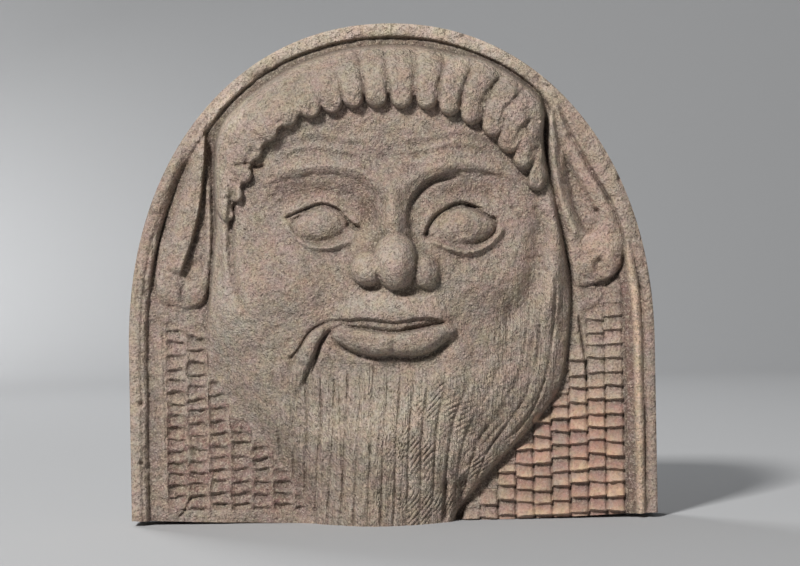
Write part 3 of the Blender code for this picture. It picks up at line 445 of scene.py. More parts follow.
def eyes(slab):
    """Both eyes: the right one is larger and more sharply cut."""
    eye(slab, (-26.8, 128.2), (12.6, 7.6), 8,
        [(-42.5, 131.4), (-34, 135.0), (-26.5, 137.2), (-20, 134.8), (-15.3, 130), (-11, 126.8)],
        [(-42.5, 129.5), (-37, 122.8), (-32, 119.8), (-26, 118.8), (-19.5, 120.0), (-13, 123.2)], 1.0,
        2.4, 2.8)
    eye(slab, (32.6, 126.6), (13.6, 8.4), 6,
        [(16.6, 122.5), (18.2, 127.4), (22.4, 132.4), (30.5, 136.3), (37, 134.6), (46, 128.8)],
        [(18.5, 121.6), (24, 118.8), (30, 116.6), (36, 116.2), (42, 118.4), (46.8, 122.6), (49, 128)],
        1.6, 3.0, 3.1)
    slab.lines(
        ([(-39.6, 130.4), (-36, 132), (-29, 134)], 0.8, -1.0),
        ([(-17, 129), (-13, 127), (-9.5, 126.4)], 1.7, -1.8, 0.2),
        ([(33, 136), (40, 133.2), (46.8, 128.4)], 1.6, -3.0, 0.1),
        ([(-25, 118.2), (-19, 119), (-12.5, 122.4)], 0.9, 0.5),
        ([(30, 115), (37, 114.6), (43, 117)], 0.9, 0.4),
        ([(43, 117.6), (47.5, 121.5), (50, 127.5)], 2.2, 0.7, 0.2),
    )
    slab.dome(17.2, 123.4, 1.8, 2.6, -2.0, turn=-20)
    slab.dome(-12, 127.2, 2.6, 1.8, -1.3, turn=-15)
    slab.dome(45.8, 127.8, 1.6, 1.6, -1.0)


def nose(slab):
    """A narrow bridge, a ball of a tip and two smaller balls beside it."""
    slab.line([(2.5, 158), (2.2, 146), (2.2, 136), (3.4, 120)], 12.5, 5.0, 0.3, power=2.2)
    slab.line([(2.5, 149), (2.0, 140), (2.6, 131), (3.6, 117)], 8.0, 4.4, 0.2, power=2.2)
    slab.swell(-6.5, 132.5, 4.2, 7, -4.0, turn=-10)
    slab.swell(4, 110, 16, 9, 6.0)
    slab.ball(-7.4, 109.8, 7.8, 7.6, 30.0, 11.0, 2.0, turn=-10)
    slab.ball(16.4, 108.2, 7.0, 8.4, 26.6, 11.5, 1.2, turn=10)
    slab.ball(3.8, 112.8, 9.6, 12.2, 34.0, 14.5, 3.0)
    slab.line([(-3.9, 108), (-3.6, 105), (-4.2, 102.5)], 1.3, -0.8)
    slab.dome(-7.0, 102.2, 5.6, 2.6, -2.0)
    slab.dome(11, 99.8, 9.5, 2.8, -2.6)


def mouth(slab):
    """The upper lip set back under the moustache, and the full lower lip."""
    slab.swell(3, 95, 24, 9, 4.6)
    slab.swell(3, 94, 13, 5.5, 1.6)
    slab.swell(3, 79, 24, 9, 2.6)
    slab.swell(4, 68.5, 22, 5.5, -3.6)
    slab.swell(23, 77, 5, 5, -1.6)
    slab.ledge([(-25, 87.3), (-18, 88.4), (-9, 88.9), (2.8, 87.3), (12, 88.6), (20, 88.5), (27.5, 85)],
                2.6, 1.1, 9)
    lower_lip = [(-23, 84.5), (-22, 80.5), (-15, 76.0), (-6, 73.6), (2.4, 73.6), (11, 73.2), (19, 75.4),
                 (26, 80.6), (28.4, 84), (22, 86.6), (12, 84.6), (2.8, 83.2), (-8, 84.6), (-17, 86.4)]
    box, depth = slab.inside(lower_lip)
    slab.h[box] += 2.9 * smoothstep(-0.9, 0.5, depth) + 2.1 * smoothstep(-0.5, 3.4, depth)
    slab.lines(
        ([(-16, 86.8), (-8, 86.4), (2.8, 85.1), (12, 86.4), (20, 87.4)], 2.2, 1.1),
        ([(-19, 86.5), (-9, 84.6), (2.8, 83.0), (12, 84.3), (20, 86.0), (25, 86.6)], 1.0, -3.4, 0.08),
        ([(2.4, 73), (2.4, 76.5), (2.8, 80)], 2.0, -1.0, 0.3),
        ([(-22, 80), (-15, 75), (-6, 72.6), (3, 72.7), (12, 72.2), (20, 74.6), (27, 80.4)], 1.9, -2.4,
          0.12),
        ([(5, 83.8), (12, 84.7), (20, 86.0), (25, 86.5)], 1.7, -1.6, 0.2),
        ([(-22, 84.6), (-17, 84.6), (-11, 84.8)], 2.2, -1.6, 0.3),
    )


def moustache(slab):
    """One drooping strand is left, on the left of the mouth."""
    strand = np.array([(-19, 88), (-25.5, 85.5), (-31, 80.5), (-35, 71), (-41, 56)])
    level = slab.sample(strand[:, 0], strand[:, 1])
    slab.roll(strand, [1.0, 2.4, 3.6, 4.2, 1.6], level + [0.6, 1.8, 2.6, 2.0, 0.0], roundness=0.5)
    slab.lines(
        ([(-16, 88.6), (-22, 88.2), (-29, 86.1), (-33.5, 82.6), (-36.5, 77.6), (-42, 71.5)], 0.9, -1.8,
          0.08),
        ([(-20, 87.2), (-24.4, 84), (-28, 79), (-30.6, 73), (-34, 65.5), (-38, 57)], 1.8, -3.2, 0.3),
    )


# The fringe: its border through the notches and back outside the arch; each lock's tip, bend, root and
# half width; and the deeper grooves
FRINGE_BORDER = (
    (-66, 127), (-63.5, 136.5), (-60.3, 143.5), (-56.8, 151), (-50.8, 160.5), (-43.3, 169),
    (-34.3, 174.5), (-25, 177.6), (-16, 180.6), (-7.5, 181.5), (2.5, 182.4), (13, 181), (22, 178.6),
    (31.5, 175), (40.3, 170.6), (48.5, 165), (54.5, 157.5), (59.5, 149.5), (64, 141), (69, 150),
    (68, 176), (90, 200), (0, 240), (-90, 200), (-72, 170), (-70, 140),
)
LOCKS = (
    ((-65.5, 131), (-67.5, 137), (-70, 144), 3.2), ((-61, 139.5), (-65, 145), (-70, 152), 3.8),
    ((-56.8, 147.6), (-62, 153), (-70, 161), 4.2), ((-52.6, 157), (-59, 165), (-67, 176), 4.8),
    ((-46.6, 164.6), (-52, 173), (-58.5, 184.5), 5.0), ((-38.6, 170.4), (-43, 180), (-48.5, 192), 5.1),
    ((-29.4, 173.8), (-33, 184), (-37.5, 197.5), 5.2), ((-20.8, 175.6), (-23, 187), (-27, 201), 5.1),
    ((-12, 177.6), (-14, 189), (-16.5, 203.5), 5.2), ((-2.6, 177.4), (-3.5, 190), (-5.5, 205), 5.2),
    ((7.8, 177.0), (7.4, 190), (6.5, 205.5), 5.3), ((17.8, 176.4), (19, 189), (20.5, 203.5), 5.0),
    ((27.2, 173.6), (29, 185), (32.5, 200), 5.1), ((36.4, 169.6), (38, 181), (45, 195.5), 5.2),
    ((44.8, 164.4), (47.6, 175), (56.5, 190), 5.4), ((51.2, 157.6), (55, 169), (64, 184), 5.8),
    ((57, 150.4), (61, 161), (67, 176), 5.2), ((62.4, 141.6), (64.8, 150), (68, 162), 4.0),
)
LOCK_GROOVES = (
    (0.6, (1.5, 181), (0.8, 190), (0.5, 201)), (1.5, (20.6, 179), (23, 187), (27.2, 198)),
    (1.2, (31.2, 175), (33, 185), (38, 193)), (1.5, (40, 171), (41.2, 179), (46, 186), (52.5, 191)),
    (1.7, (48.4, 168), (50.5, 175), (57.5, 182.5), (61.5, 186)), (1.5, (54, 160), (57.5, 167), (62, 171)),
    (1.6, (-63.5, 153.6), (-58, 154.8), (-53, 153.4), (-49.5, 154)),
)


def fringe(slab):
    """Locks side by side, from the arch down to round tips; the left ones are worn into one mass."""
    crisp = smoothstep(-30, -10, slab.x)
    box, depth = slab.inside(FRINGE_BORDER)
    rise = np.zeros(slab.h.shape)
    rise[box] = (4.3 - 1.1 * crisp)[box] * smoothstep(-0.3, 1.3, depth)
    for tip, bend, root, half in LOCKS:
        way = np.subtract(bend, tip)
        start = tip + way / np.linalg.norm(way) * 0.85 * half
        box, away, t, _ = slab.near(spline([start, bend, root]), 1.4 * half)
        share = np.clip(away / (half * (0.92 + 0.36 * t)), 0.0, 1.0)
        crest = 4.9 + crisp[box] * (0.5 + 0.8 * (1.0 - t) ** 4)
        pillow = crest * np.sqrt(1.0 - share ** (8.0 - 4.0 * crisp[box]))
        rise[box] = np.where(share < 1.0, soft_max(rise[box], pillow, 0.5), rise[box])
    gap = 2.0 + 1.6 * smoothstep(-30, -60, slab.x) - 2.4 * smoothstep(30, 42, slab.x)
    rise *= smoothstep(gap, gap + 3.0, slab.edge - slab.band) * smoothstep(-0.5, 1.5, slab.depth)
    slab.h += rise
    slab.line([(-62, 160), (-52, 171), (-34, 182), (-6, 190), (22, 188), (42, 182)], 16, 2.4, 0.2)
    slab.fringe = np.clip(rise / 3.0, 0.0, 1.0)
    for deep, *points in LOCK_GROOVES:
        slab.line(points, 1.4, -0.75 * deep)


def left_ear(slab):
    """A long flap with a slit down its inner side and two low lobes at its end."""
    slab.leaf([(-75.5, 171), (-80, 163), (-86.5, 148), (-91.5, 133), (-95, 118), (-96.5, 105),
               (-94.5, 98), (-89.5, 96), (-84, 94.5), (-79, 95), (-75.2, 100), (-72.8, 118), (-72, 150)],
               -2.6, 2.5)
    slab.ledge([(-86.6, 107.5), (-83.2, 117), (-79.6, 128), (-77, 140), (-75.5, 152), (-74.6, 168)], 4.2,
                0.9, 10.0, 0.06)
    slab.lines(
        ([(-80.6, 160), (-85.6, 150), (-90.6, 135), (-94, 119)], 4.4, -2.6, 0.2),
        ([(-90, 112), (-87.4, 122), (-84, 134), (-80.4, 147), (-77.4, 160), (-76, 169)], 4.6, 1.7, 0.2),
    )
    slab.scoop([(-75.4, 150), (-77.6, 134), (-83.6, 114.5), (-85.3, 107.5), (-82, 106), (-78, 107),
                (-75.2, 114), (-74.4, 135)], -3.9, 1.2)
    slab.lines(
        ([(-86.4, 107.5), (-82.4, 117), (-78.8, 128), (-76.4, 140), (-75, 155)], 1.2, -1.6, 0.12),
        ([(-74, 150), (-73.6, 130), (-74.2, 112)], 1.6, 0.9, 0.2),
    )
    slab.dome(-80.3, 100.8, 5.6, 6.0, 2.4)
    slab.dome(-91, 104, 6.0, 9.0, 1.6)
    slab.lines(
        ([(-86, 105), (-85.6, 96)], 1.8, -1.0, 0.2),
        ([(-72.8, 168), (-71.9, 145), (-72.4, 120), (-74.4, 101), (-77.5, 96), (-84, 94.2)], 1.3, -1.1,
          0.08),
    )


def right_ear(slab):
    """A hollow leaf-shaped ear between two ridges, with a knobbed lobe."""
    slab.leaf([(84, 104), (90, 98), (87, 92.5), (81, 90.5), (78.4, 96), (77.6, 106)], -3.4, 2.0)
    slab.leaf([(70.5, 179), (77.5, 163.5), (84.5, 150.5), (90.5, 141), (95, 132), (98.2, 121),
               (98.4, 112), (96, 106.5), (89, 103), (80, 101.5), (77.6, 108), (72.8, 126), (69.8, 143),
               (67.8, 163)], -1.0, 2.0)
    slab.scoop([(74.6, 160), (83.6, 144.5), (90.5, 131), (89, 124.5), (84, 121.5), (79, 128),
                (74.2, 146)], -4.6, 3.0)
    slab.lines(
        ([(77, 166), (84.5, 149), (92, 135), (95, 122)], 4.0, 0.8),
        ([(69.6, 176), (71.2, 152), (75, 135), (81.5, 118.5)], 3.2, 3.4, 0.1),
        ([(72.8, 176), (75, 166), (78.5, 156)], 1.8, 0.9, 0.3),
        ([(71.4, 176), (72.4, 166), (74.6, 157)], 1.3, -1.4, 0.2),
    )
    slab.dome(91.5, 117, 7.0, 6.5, 2.0)
    slab.dome(84.6, 109.6, 5.6, 5.0, 1.8)
    slab.dome(93.5, 110.5, 3.6, 4.0, 1.4)
    slab.lines(
        ([(71, 172), (71.6, 150), (74.8, 132), (78.8, 112), (79.8, 92), (78.4, 72)], 4.5, 1.6, 0.2),
        ([(90.5, 112.5), (88, 110), (88.4, 106)], 2.6, -2.2, 0.2),
    )
    slab.dome(88.3, 132.6, 1.6, 1.3, -1.4)
    slab.lines(
        ([(67.2, 179), (67.0, 155), (70.4, 136), (75.2, 118), (77.0, 96)], 1.4, -1.2, 0.06),
        ([(72.6, 178), (77.8, 165.5), (85, 152), (91.3, 141.5), (96, 132), (99.2, 121), (99.2, 111),
          (95, 104.8), (89.5, 99)], 1.2, -2.0, 0.05),
    )


def mane_column(slab, x0, x1, low, high, pitch, phase, lip, worn, chance):
    """One column of short locks like laid bricks, each with its lower lip standing over the next."""
    rows, z = [], low + phase - pitch
    while z < high + pitch:
        rows.append(z)
        z += pitch * chance.uniform(0.86, 1.14)
    rows = np.array(rows)
    tilt, lift = chance.uniform(-0.9, 0.9, len(rows)), chance.uniform(-0.35, 0.35, len(rows))
    box = slab.window(x0 - 0.5, low, x1 + 0.5, high + 1)
    x, z = slab.x[box], slab.z[box]
    waver = (0.25 + 0.85 * worn) * noise(x, z, 4.5, 31)
    across = np.clip((x - x0 + waver) / (x1 - x0), 0.0, 1.0)
    row = np.clip(np.searchsorted(rows, (z + waver).ravel()) - 1, 0, len(rows) - 2).reshape(z.shape)
    up = (z + waver - rows[row] - tilt[row] * (across - 0.5)) / (rows[row + 1] - rows[row])
    up = np.clip(up, 0.0, 1.0)
    shingle = (1.0 - up) ** (1.5 - 0.5 * worn) * smoothstep(-0.02, 0.11 + 0.15 * worn, up)
    if worn:
        lens = 1.0 - np.abs(2.0 * across - 1.0) ** 3
        brick = 0.9 - lens * (lip + 0.4 - (lip + 0.3) * shingle)
        over = smoothstep(4.0, 0.5, slab.depth[box])
    else:
        gap = np.exp(-((np.minimum(across, 1.0 - across) * (x1 - x0) / 0.6) ** 2))
        brick = (lip * shingle - 1.5 * gap) * (1.0 - 0.4 * smoothstep(56, 84, z))
        over = slab.depth[box] < 0.3
    fade = smoothstep(high + 1, high - 4, z)
    here = (x >= x0) & (x <= x1) & (z >= low) & (z <= high)
    slab.h[box] += np.where(here, (brick + lift[row]) * fade * over, 0.0)
    # each brick's tone: random per brick, and paler towards its lower lip as the shingle rises there, which
    # is painted light
    tone = 0.55 + 1.2 * lift[row] + 0.9 * shingle
    slab.brick[box] = np.where(here & (slab.depth[box] < 2), tone, slab.brick[box])


def mane(slab):
    """Columns of brick-like locks on both sides of the beard: shallow on the left, crisp on the right."""
    chance = np.random.default_rng(3)
    slab.brick = np.zeros(slab.h.shape)
    for i, high in enumerate((90, 88, 68, 48, 38, 28, 20)):
        x0 = LEFT_MANE + LEFT_BRICK * i
        phase = chance.uniform(0, 2.4)
        mane_column(slab, x0, x0 + LEFT_BRICK, 10, high, LEFT_COURSE, phase, 2.5, True, chance)
    slab.line([(-95.2, 92), (-94.6, 50), (-93.6, 12)], 1.8, 1.0, 0.08)
    for i, high in enumerate((100, 92, 76, 58, 48, 36, 27, 17, 9)):
        x1 = RIGHT_MANE - RIGHT_BRICK * i
        mane_column(slab, x1 - RIGHT_BRICK, x1, 2.5, high, RIGHT_COURSE, 4.6 - 0.35 * i, 3.0, False, chance)
    slab.lines(
        ([(80, 90), (81, 80), (82.6, 70), (83, 60)], 1.0, -1.4),
        ([(-76, 16.5), (-83, 15.5), (-86, 10), (-89.5, 6.5)], 0.9, -0.9),
    )


def beard_strands(slab):
    """The beard's long strands, upright in the middle and leaning in from both sides."""
    x, z = slab.x, slab.z
    lean = 0.09 + 0.75 * smoothstep(14, 62, x) - 0.30 * smoothstep(-22, -70, x)
    bent = lean * STRAND_BEND * np.tanh((z - STRAND_BEND) / STRAND_BEND)
    place = (x - bent + 1.2 * noise(x, z, 28, 77) + 2.8) / STRAND_WIDTH
    from_line = np.abs(place - np.round(place)) * STRAND_WIDTH
    patchy = noise(x, z, 13, 61)
    middle = smoothstep(70, 61, z + 4 * patchy)
    right = smoothstep(38, 52, x + 6 * patchy) * smoothstep(112, 92, z + 5 * patchy)
    left = smoothstep(-44, -56, x + 5 * patchy) * smoothstep(96, 80, z)
    worn = 1.0 - 0.5 * smoothstep(-30, -52, x) * smoothstep(20, 60, z)
    slab.strand = place
    slab.hair = smoothstep(0.5, 5, slab.depth) * np.clip(middle + right + 0.6 * left, 0.0, 1.0) * worn
    soft = 1.0 - 0.5 * smoothstep(26, 48, x + 0.2 * z) * smoothstep(6, 14, slab.depth)
    strength = soft * np.clip(0.8 + 0.5 * noise(x, z, 22, 8), 0.3, 1.0)
    slab.h -= STRAND_DEPTH * slab.hair * strength * np.exp(-((from_line / STRAND_LINE) ** 2))
    rim_hair = smoothstep(22, 34, x) * smoothstep(72, 54, z)
    rim_hair *= smoothstep(17, 11, slab.depth) * smoothstep(0.2, 1.5, slab.depth)
    along = (slab.depth + 1.5 * noise(x, z, 13, 78)) / 3.3
    groove = (0.5 + 0.5 * np.cos(2 * pi * along)) ** 3
    slab.h -= 0.7 * rim_hair * groove * np.clip(0.7 + noise(x, z, 9, 79), 0, 1)
    slab.lines(
        ([(31, 24), (29.6, 14), (28, 2)], 3.6, -4.5, 0.2),
        ([(23.5, 23), (23, 12), (22.5, 2)], 2.2, -2.6, 0.2),
    )


# ---- what hands, tools and weather left ----------------------------------------------------


def blurred(field, width):
    """The field with whatever is smaller than the width smoothed away."""
    reach = max(1, round(width / (2.0 * LATTICE_STEP)))
    for axis in (0, 1, 0, 1, 0, 1):
        margin = [(0, 0), (0, 0)]
        margin[axis] = (reach + 1, reach)
        run = np.cumsum(np.pad(field, margin, mode="edge"), axis=axis)
        last = run.shape[axis]
        high = np.take(run, range(2 * reach + 1, last), axis=axis)
        field = (high - np.take(run, range(last - 2 * reach - 1), axis=axis)) / (2 * reach + 1)
    return field


def speckle(slab, scale, seed, low, high, octaves=1):
    """Scattered spots: 0 where the noise is below low, 1 above high."""
    return smoothstep(low, high, noise(slab.x, slab.z, scale, seed, octaves))


def comb_the_beard(slab):
    """Short slanting strokes pressed between the long strands, in herringbone in the middle."""
    x, z = slab.x, slab.z
    which = np.floor(slab.strand)
    across = slab.strand - which
    slant = np.where(x > 6.5, 1.5, np.where(x < -8, 3.4, 1.9))
    herringbone = (x > -6) & (x < 6.5)
    rise = np.where(herringbone, np.abs(across - 0.5) * 2.0, across) * STRAND_WIDTH * slant
    pitch = 3.0 - 0.5 * smoothstep(25, 45, x)
    phase = (z - rise + 1.3 * which + 1.5 * noise(x, z, 8, 15)) / pitch
    stroke = (0.5 + 0.5 * np.cos(2 * pi * phase)) ** 4
    edge = smoothstep(0.0, 0.16, np.minimum(across, 1.0 - across))
    deep = np.where(x < -8, 0.5, 1.15) * np.clip(0.55 + 1.1 * noise(x, z, 8, 19, 2), 0.1, 1.4)
    deep *= 1.0 - 0.75 * smoothstep(26, 38, x) * smoothstep(28, 44, z)
    slab.h -= deep * slab.hair * stroke * edge
    long_hair = noise(slab.strand * STRAND_WIDTH, z / 9.0, 1.3, 17, 2)
    slab.h += 0.42 * np.clip(slab.hair * 1.4, 0.0, 1.0) * long_hair


def comb_the_face(slab):
    """Fine slanting hairs on both sides of the upper lip."""
    for x, lean in ((-23, 2.4), (-20.6, 2.2), (-18.2, 2.0), (-15.8, 1.8), (16, -2.2), (18.6, -2.5),
                    (21.2, -2.8), (23.8, -3.0), (26.4, -3.2)):
        slab.line([(x + lean, 99.5), (x + 0.6 * lean, 95), (x, 90.5)], 0.9, -0.55, 0.3)


def work_by_hand(slab):
    """The unevenness of clay pressed by hand into its mould."""
    x, z = slab.x, slab.z
    soft = smoothstep(-0.2, 1.5, slab.edge)
    crisp = smoothstep(98, 100, x) * smoothstep(118, 106, z)
    slab.h += soft * (1.0 - 0.8 * crisp) * (0.38 * noise(x, z, 9, 101, 2) + 0.26 * noise(x, z, 3.4, 111, 2))
    crumbled = smoothstep(50, 60, x) * smoothstep(138, 150, z) * smoothstep(184, 174, z)
    crumbled *= smoothstep(14, 7, slab.depth) * smoothstep(-0.5, 1.0, slab.depth)
    slab.h += crumbled * 1.5 * noise(x, z, 3.6, 127, 2)
    slab.crust = patches(slab, "crust")
    slab.h += soft * slab.crust * 0.9 * noise(x, z, 2.6, 129, 2)
    hair = soft * np.clip(slab.fringe, 0.0, 1.0)
    left = smoothstep(20, -35, x)
    slab.h += hair * (0.4 + 0.5 * left) * noise(x, z, 4.5, 121, 3)
    slab.h += hair * (0.45 + 0.3 * left) * smoothstep(-0.12, 0.12, noise(x, z, 4.5, 123, 3))


def weather(slab):
    """Sand standing in the clay, grains fallen out of it, and ridges rubbed down."""
    x, z = slab.x, slab.z
    coarse = 1.0 - 0.75 * smoothstep(97, 99, x) * smoothstep(118, 106, z)
    coarse *= 1.0 - 0.45 * (slab.brick > 0.1) * (x > 40)
    coarse *= 0.55 + 0.45 * smoothstep(-0.3, 0.4, noise(x, z, 30, 125, 3))
    slab.h += coarse * 0.24 * noise(x, z, 1.5, 131, 1)
    slab.h -= coarse * 0.35 * speckle(slab, 2.3, 151, 0.34, 0.72)
    slab.h -= coarse * 0.55 * speckle(slab, 3.6, 161, 0.52, 0.85)
    proud = np.clip(slab.h - blurred(slab.h, 3.0), 0.0, 2.0)
    slab.h -= proud * 0.5 * speckle(slab, 7.0, 171, 0.05, 0.55, 2)


def damage(slab):
    """Chips along the rim, pits and cracks."""
    x, z = slab.x, slab.z
    rim_edge = np.exp(-((slab.edge - 0.6) / 1.6) ** 2)
    slab.h -= 2.2 * rim_edge * speckle(slab, 6.0, 181, 0.38, 0.7, 2)
    inner = np.exp(-((slab.edge - slab.band + 0.8) / 1.2) ** 2)
    slab.h -= 1.0 * inner * speckle(slab, 5.0, 191, 0.3, 0.7, 2)
    for px, pz, size, deep in ((-103.6, 55, 1.6, 1.8), (-104, 30, 1.4, 1.6), (106, 100, 1.5, 1.2),
                               (88.5, 132.5, 1.4, 1.2), (-61.5, 43.5, 1.2, 1.6), (-72.5, 44, 1.2, 1.2),
                               (2.6, 150, 1.3, 0.7), (-17, 27, 1.0, 0.9), (27, 22, 1.6, 0.9)):
        slab.dome(px, pz, size, size, -deep)
    for px, pz, size in ((-32, 182, 2.6), (5, 94, 1.3)):
        box, share = slab.oval(px, pz, size, size, 0)
        slab.h[box] -= 0.7 * np.exp(-((np.sqrt(share) - 0.75) / 0.22) ** 2)
    for crack in ([(-63, 153.5), (-58, 154.6), (-53, 153.2), (-49.5, 154)],
                  [(-76, 16), (-80, 15.6), (-83, 15.2), (-85, 12), (-86, 9.6), (-89, 7.2)],
                  [(80, 90), (81, 80), (82.5, 70), (83, 60)],
                  [(-20.5, 66), (-20.6, 50), (-20.2, 34), (-19.6, 20), (-18.4, 6)]):
        slab.line(crack, 0.7, -0.9, 0.06)
    low = smoothstep(9.5, 4.5, z) * smoothstep(-40, -60, x)
    slab.h -= low * (0.9 + 1.1 * noise(x, z, 6, 201, 2))


def carve():
    """The front as the fired clay shows it: its parts, then what hands, tools and weather left."""
    slab = Carving(LATTICE_STEP)
    for work in (rim, head, sides_of_face, brows, eyes, nose, mouth, moustache, beard_strands, fringe, mane,
                 left_ear, right_ear, comb_the_beard, comb_the_face, work_by_hand, weather, damage):
        work(slab)
    return slab


# ---- what stains the clay, and the painted light and shade on it ---------------------------

# Patches on the front, of stains and of painted light and shade: the seed of the noise that breaks them up,
# then each one's middle, half sizes and strength
PATCHES = {
    "crust": (361, (
        (68, 128, 5, 30, 1.0), (72, 92, 5, 22, 0.9), (52, 62, 16, 26, 0.7), (88, 114, 10, 8, 1.0),
        (-67, 128, 5, 26, 0.5), (-62, 176, 16, 16, 0.6), (40, 104, 14, 12, 0.5), (6, 208, 60, 5, 0.4),
    )),
    # the clay's purplish brown, and painted shade under the nose, on the right nose wing, at the mouth
    # corners, under the lip, beside the bridge, under the brows and in the notch at the beard's foot
    "mauve_and_painted_shade": (311, (
        (-98, 60, 5, 70, 0.9), (-25, 136, 40, 42, 0.5), (-46, 20, 18, 16, 1.0), (109, 40, 3, 60, 0.9),
        (-35, 143, 18, 7, 0.25), (31, 143, 16, 6, 0.4), (-60, 125, 5, 26, 0.6), (-45, 104, 14, 14, 0.35),
        (-79, 120, 6, 16, 0.7), (82, 142, 7, 14, 0.35), (0, 160, 8, 8, 0.4), (44, 110, 14, 14, 0.3),
        (56, 126, 6, 20, 0.3), (-30, 30, 12, 20, 0.3), (-60, 60, 10, 12, 0.2), (17, 107, 8, 9, 1.0),
        (6, 102, 9, 3, 0.8), (19, 82, 10, 5, 1.0), (-26, 83, 13, 6, 1.0), (18, 71, 10, 5, 0.8),
        (27, 12, 5, 12, 1.0), (103, 24, 6, 24, 1.0), (103, 118, 4, 14, 0.6), (-78, 66, 6, 22, 0.6),
        (-6, 132, 4, 7, 0.7), (4, 70, 22, 4, 0.7), (-50, 166, 12, 8, 0.4), (88, 108, 10, 18, 0.6),
        (-89, 126, 7, 24, 0.5), (88, 30, 14, 30, 0.4),
    )),
    "green": (321, (
        (-68, 88, 9, 34, 1.1), (2, 96, 26, 7, 0.9), (70, 92, 5, 22, 0.9), (-50, 78, 16, 14, 0.4),
        (20, 60, 12, 7, 0.45), (-70, 60, 12, 14, 0.6), (84, 74, 8, 12, 0.25), (-24, 58, 40, 16, 0.55),
        (12, 54, 24, 12, 0.45), (-84, 72, 14, 24, 0.4), (-50, 48, 24, 14, 0.4), (-38, 150, 20, 20, 0.3),
        (-90, 50, 20, 50, 0.25),
    )),
    # paler clay, and painted light on the nose top, the bridge and glabella, the top of the rim and the
    # hair, and where the beard and the hair roll turn from the light
    "pale": (331, (
        (24, 46, 12, 14, 1.4), (66, 150, 6, 14, 1.0), (64, 172, 7, 12, 1.0), (78, 132, 5, 16, 0.8),
        (26, 194, 38, 8, 1.4), (68, 172, 6, 18, 1.2), (6, 144, 4, 8, 1.0), (32, 106, 14, 6, 0.8),
        (54, 120, 6, 6, 0.8), (22, 42, 16, 18, 1.6), (-26, 40, 10, 16, 1.6), (-80, 138, 12, 10, 0.8),
        (10, 24, 14, 14, 1.4), (42, 54, 8, 10, 1.4), (-18, 58, 8, 8, 1.2), (3, 116, 12, 8, 1.3),
        (-9, 112, 8, 6, 1.3), (10, 208, 62, 5, 1.0), (4, 36, 34, 34, 1.2), (-30, 46, 10, 11, 1.4),
        (30, 50, 18, 12, 1.0), (6, 128, 7, 12, 1.2), (80, 126, 6, 12, 0.8), (-68, 140, 6, 24, 0.9),
        (4, 52, 40, 12, 1.1), (28, 180, 26, 12, 0.9), (-56, 190, 14, 10, 1.2), (4, 126, 6, 12, 1.2),
        (42, 108, 9, 8, 0.8), (-64, 174, 14, 16, 1.5), (62, 84, 14, 26, 0.9), (20, 16, 26, 16, 0.6),
        (8, 146, 4, 6, 0.8), (2, 96, 22, 6, 0.9), (0, 192, 60, 12, 0.6), (-50, 180, 20, 14, 0.6),
        (-20, 152, 26, 4, 0.35), (24, 153, 24, 4, 0.35), (-86, 128, 6, 18, 0.5), (92, 117, 8, 8, 0.3),
        (-106, 40, 5, 60, 0.35), (45, 72, 16, 14, 0.35), (-27, 128, 9, 6, 0.3), (92, 150, 6, 20, 0.4),
    )),
    # painted shade: dark patches where shade falls, such as along the beard's right edge and foot, at the
    # mouth corners, under the brows, beside the bridge and on the right nose wing
    "painted_shade": (361, (
        (42, 24, 9, 8, 0.5), (30, 12, 8, 8, 0.5), (60, 14, 18, 9, 0.4), (42, 36, 6, 7, 0.45),
        (18, 85, 9, 5, 0.45), (-24, 84, 12, 5, 0.35), (42, 86, 8, 6, 0.3), (18, 108, 7, 7, 0.35),
        (-32, 145, 18, 4, 0.5), (48, 145, 14, 5, 0.3), (-6, 133, 6, 8, 0.4), (102, 24, 5, 26, 0.5),
        (102, 119, 4, 8, 0.4), (-46, 18, 14, 12, 0.3), (-56, 36, 10, 8, 0.3), (68, 50, 6, 14, 0.3),
        (90, 98, 8, 8, 0.25), (-52, 30, 14, 14, 0.3), (-32, 74, 8, 8, 0.25), (100, 60, 5, 60, 0.15),
        (-54, 126, 6, 10, 0.25), (-16, 124, 6, 5, 0.2),
    )),
    "rose": (371, (
        (-46, 17, 16, 12, 0.7),
    )),
    "peach": (341, (
        (92, 117, 9, 8, 0.5), (-13, 119, 6, 6, 0.35),
    )),
    "pink": (351, (
        (54, 22, 12, 12, 1.0), (30, 12, 12, 8, 0.9), (-26, 84, 12, 6, 0.7), (18, 86, 9, 6, 0.7),
        (-28, 143, 20, 6, 0.8), (62, 172, 26, 20, 0.6), (84, 134, 18, 44, 1.2), (50, 128, 12, 24, 0.5),
        (88, 60, 20, 50, 0.4), (52, 112, 8, 8, 0.9), (-58, 104, 9, 9, 0.6), (22, 176, 30, 10, 0.8),
        (104, 40, 8, 70, 0.6), (52, 84, 10, 30, 0.35), (24, 180, 24, 8, 0.5), (-30, 24, 20, 12, 0.3),
    )),
}


def patches(slab, name):
    """The soft-edged patches of one name."""
    seed, spots = PATCHES[name]
    total = np.zeros(slab.h.shape)
    for x, z, half_x, half_z, strength in spots:
        box, share = slab.oval(x, z, 2 * half_x, 2 * half_z, 0)
        total[box] = np.maximum(total[box], strength * np.exp(-4.0 * share) * (share < 4))
    broken = 0.75 + 0.55 * noise(slab.x, slab.z, 14, seed, 3)
    return np.clip(total * broken, 0.0, 1.0)


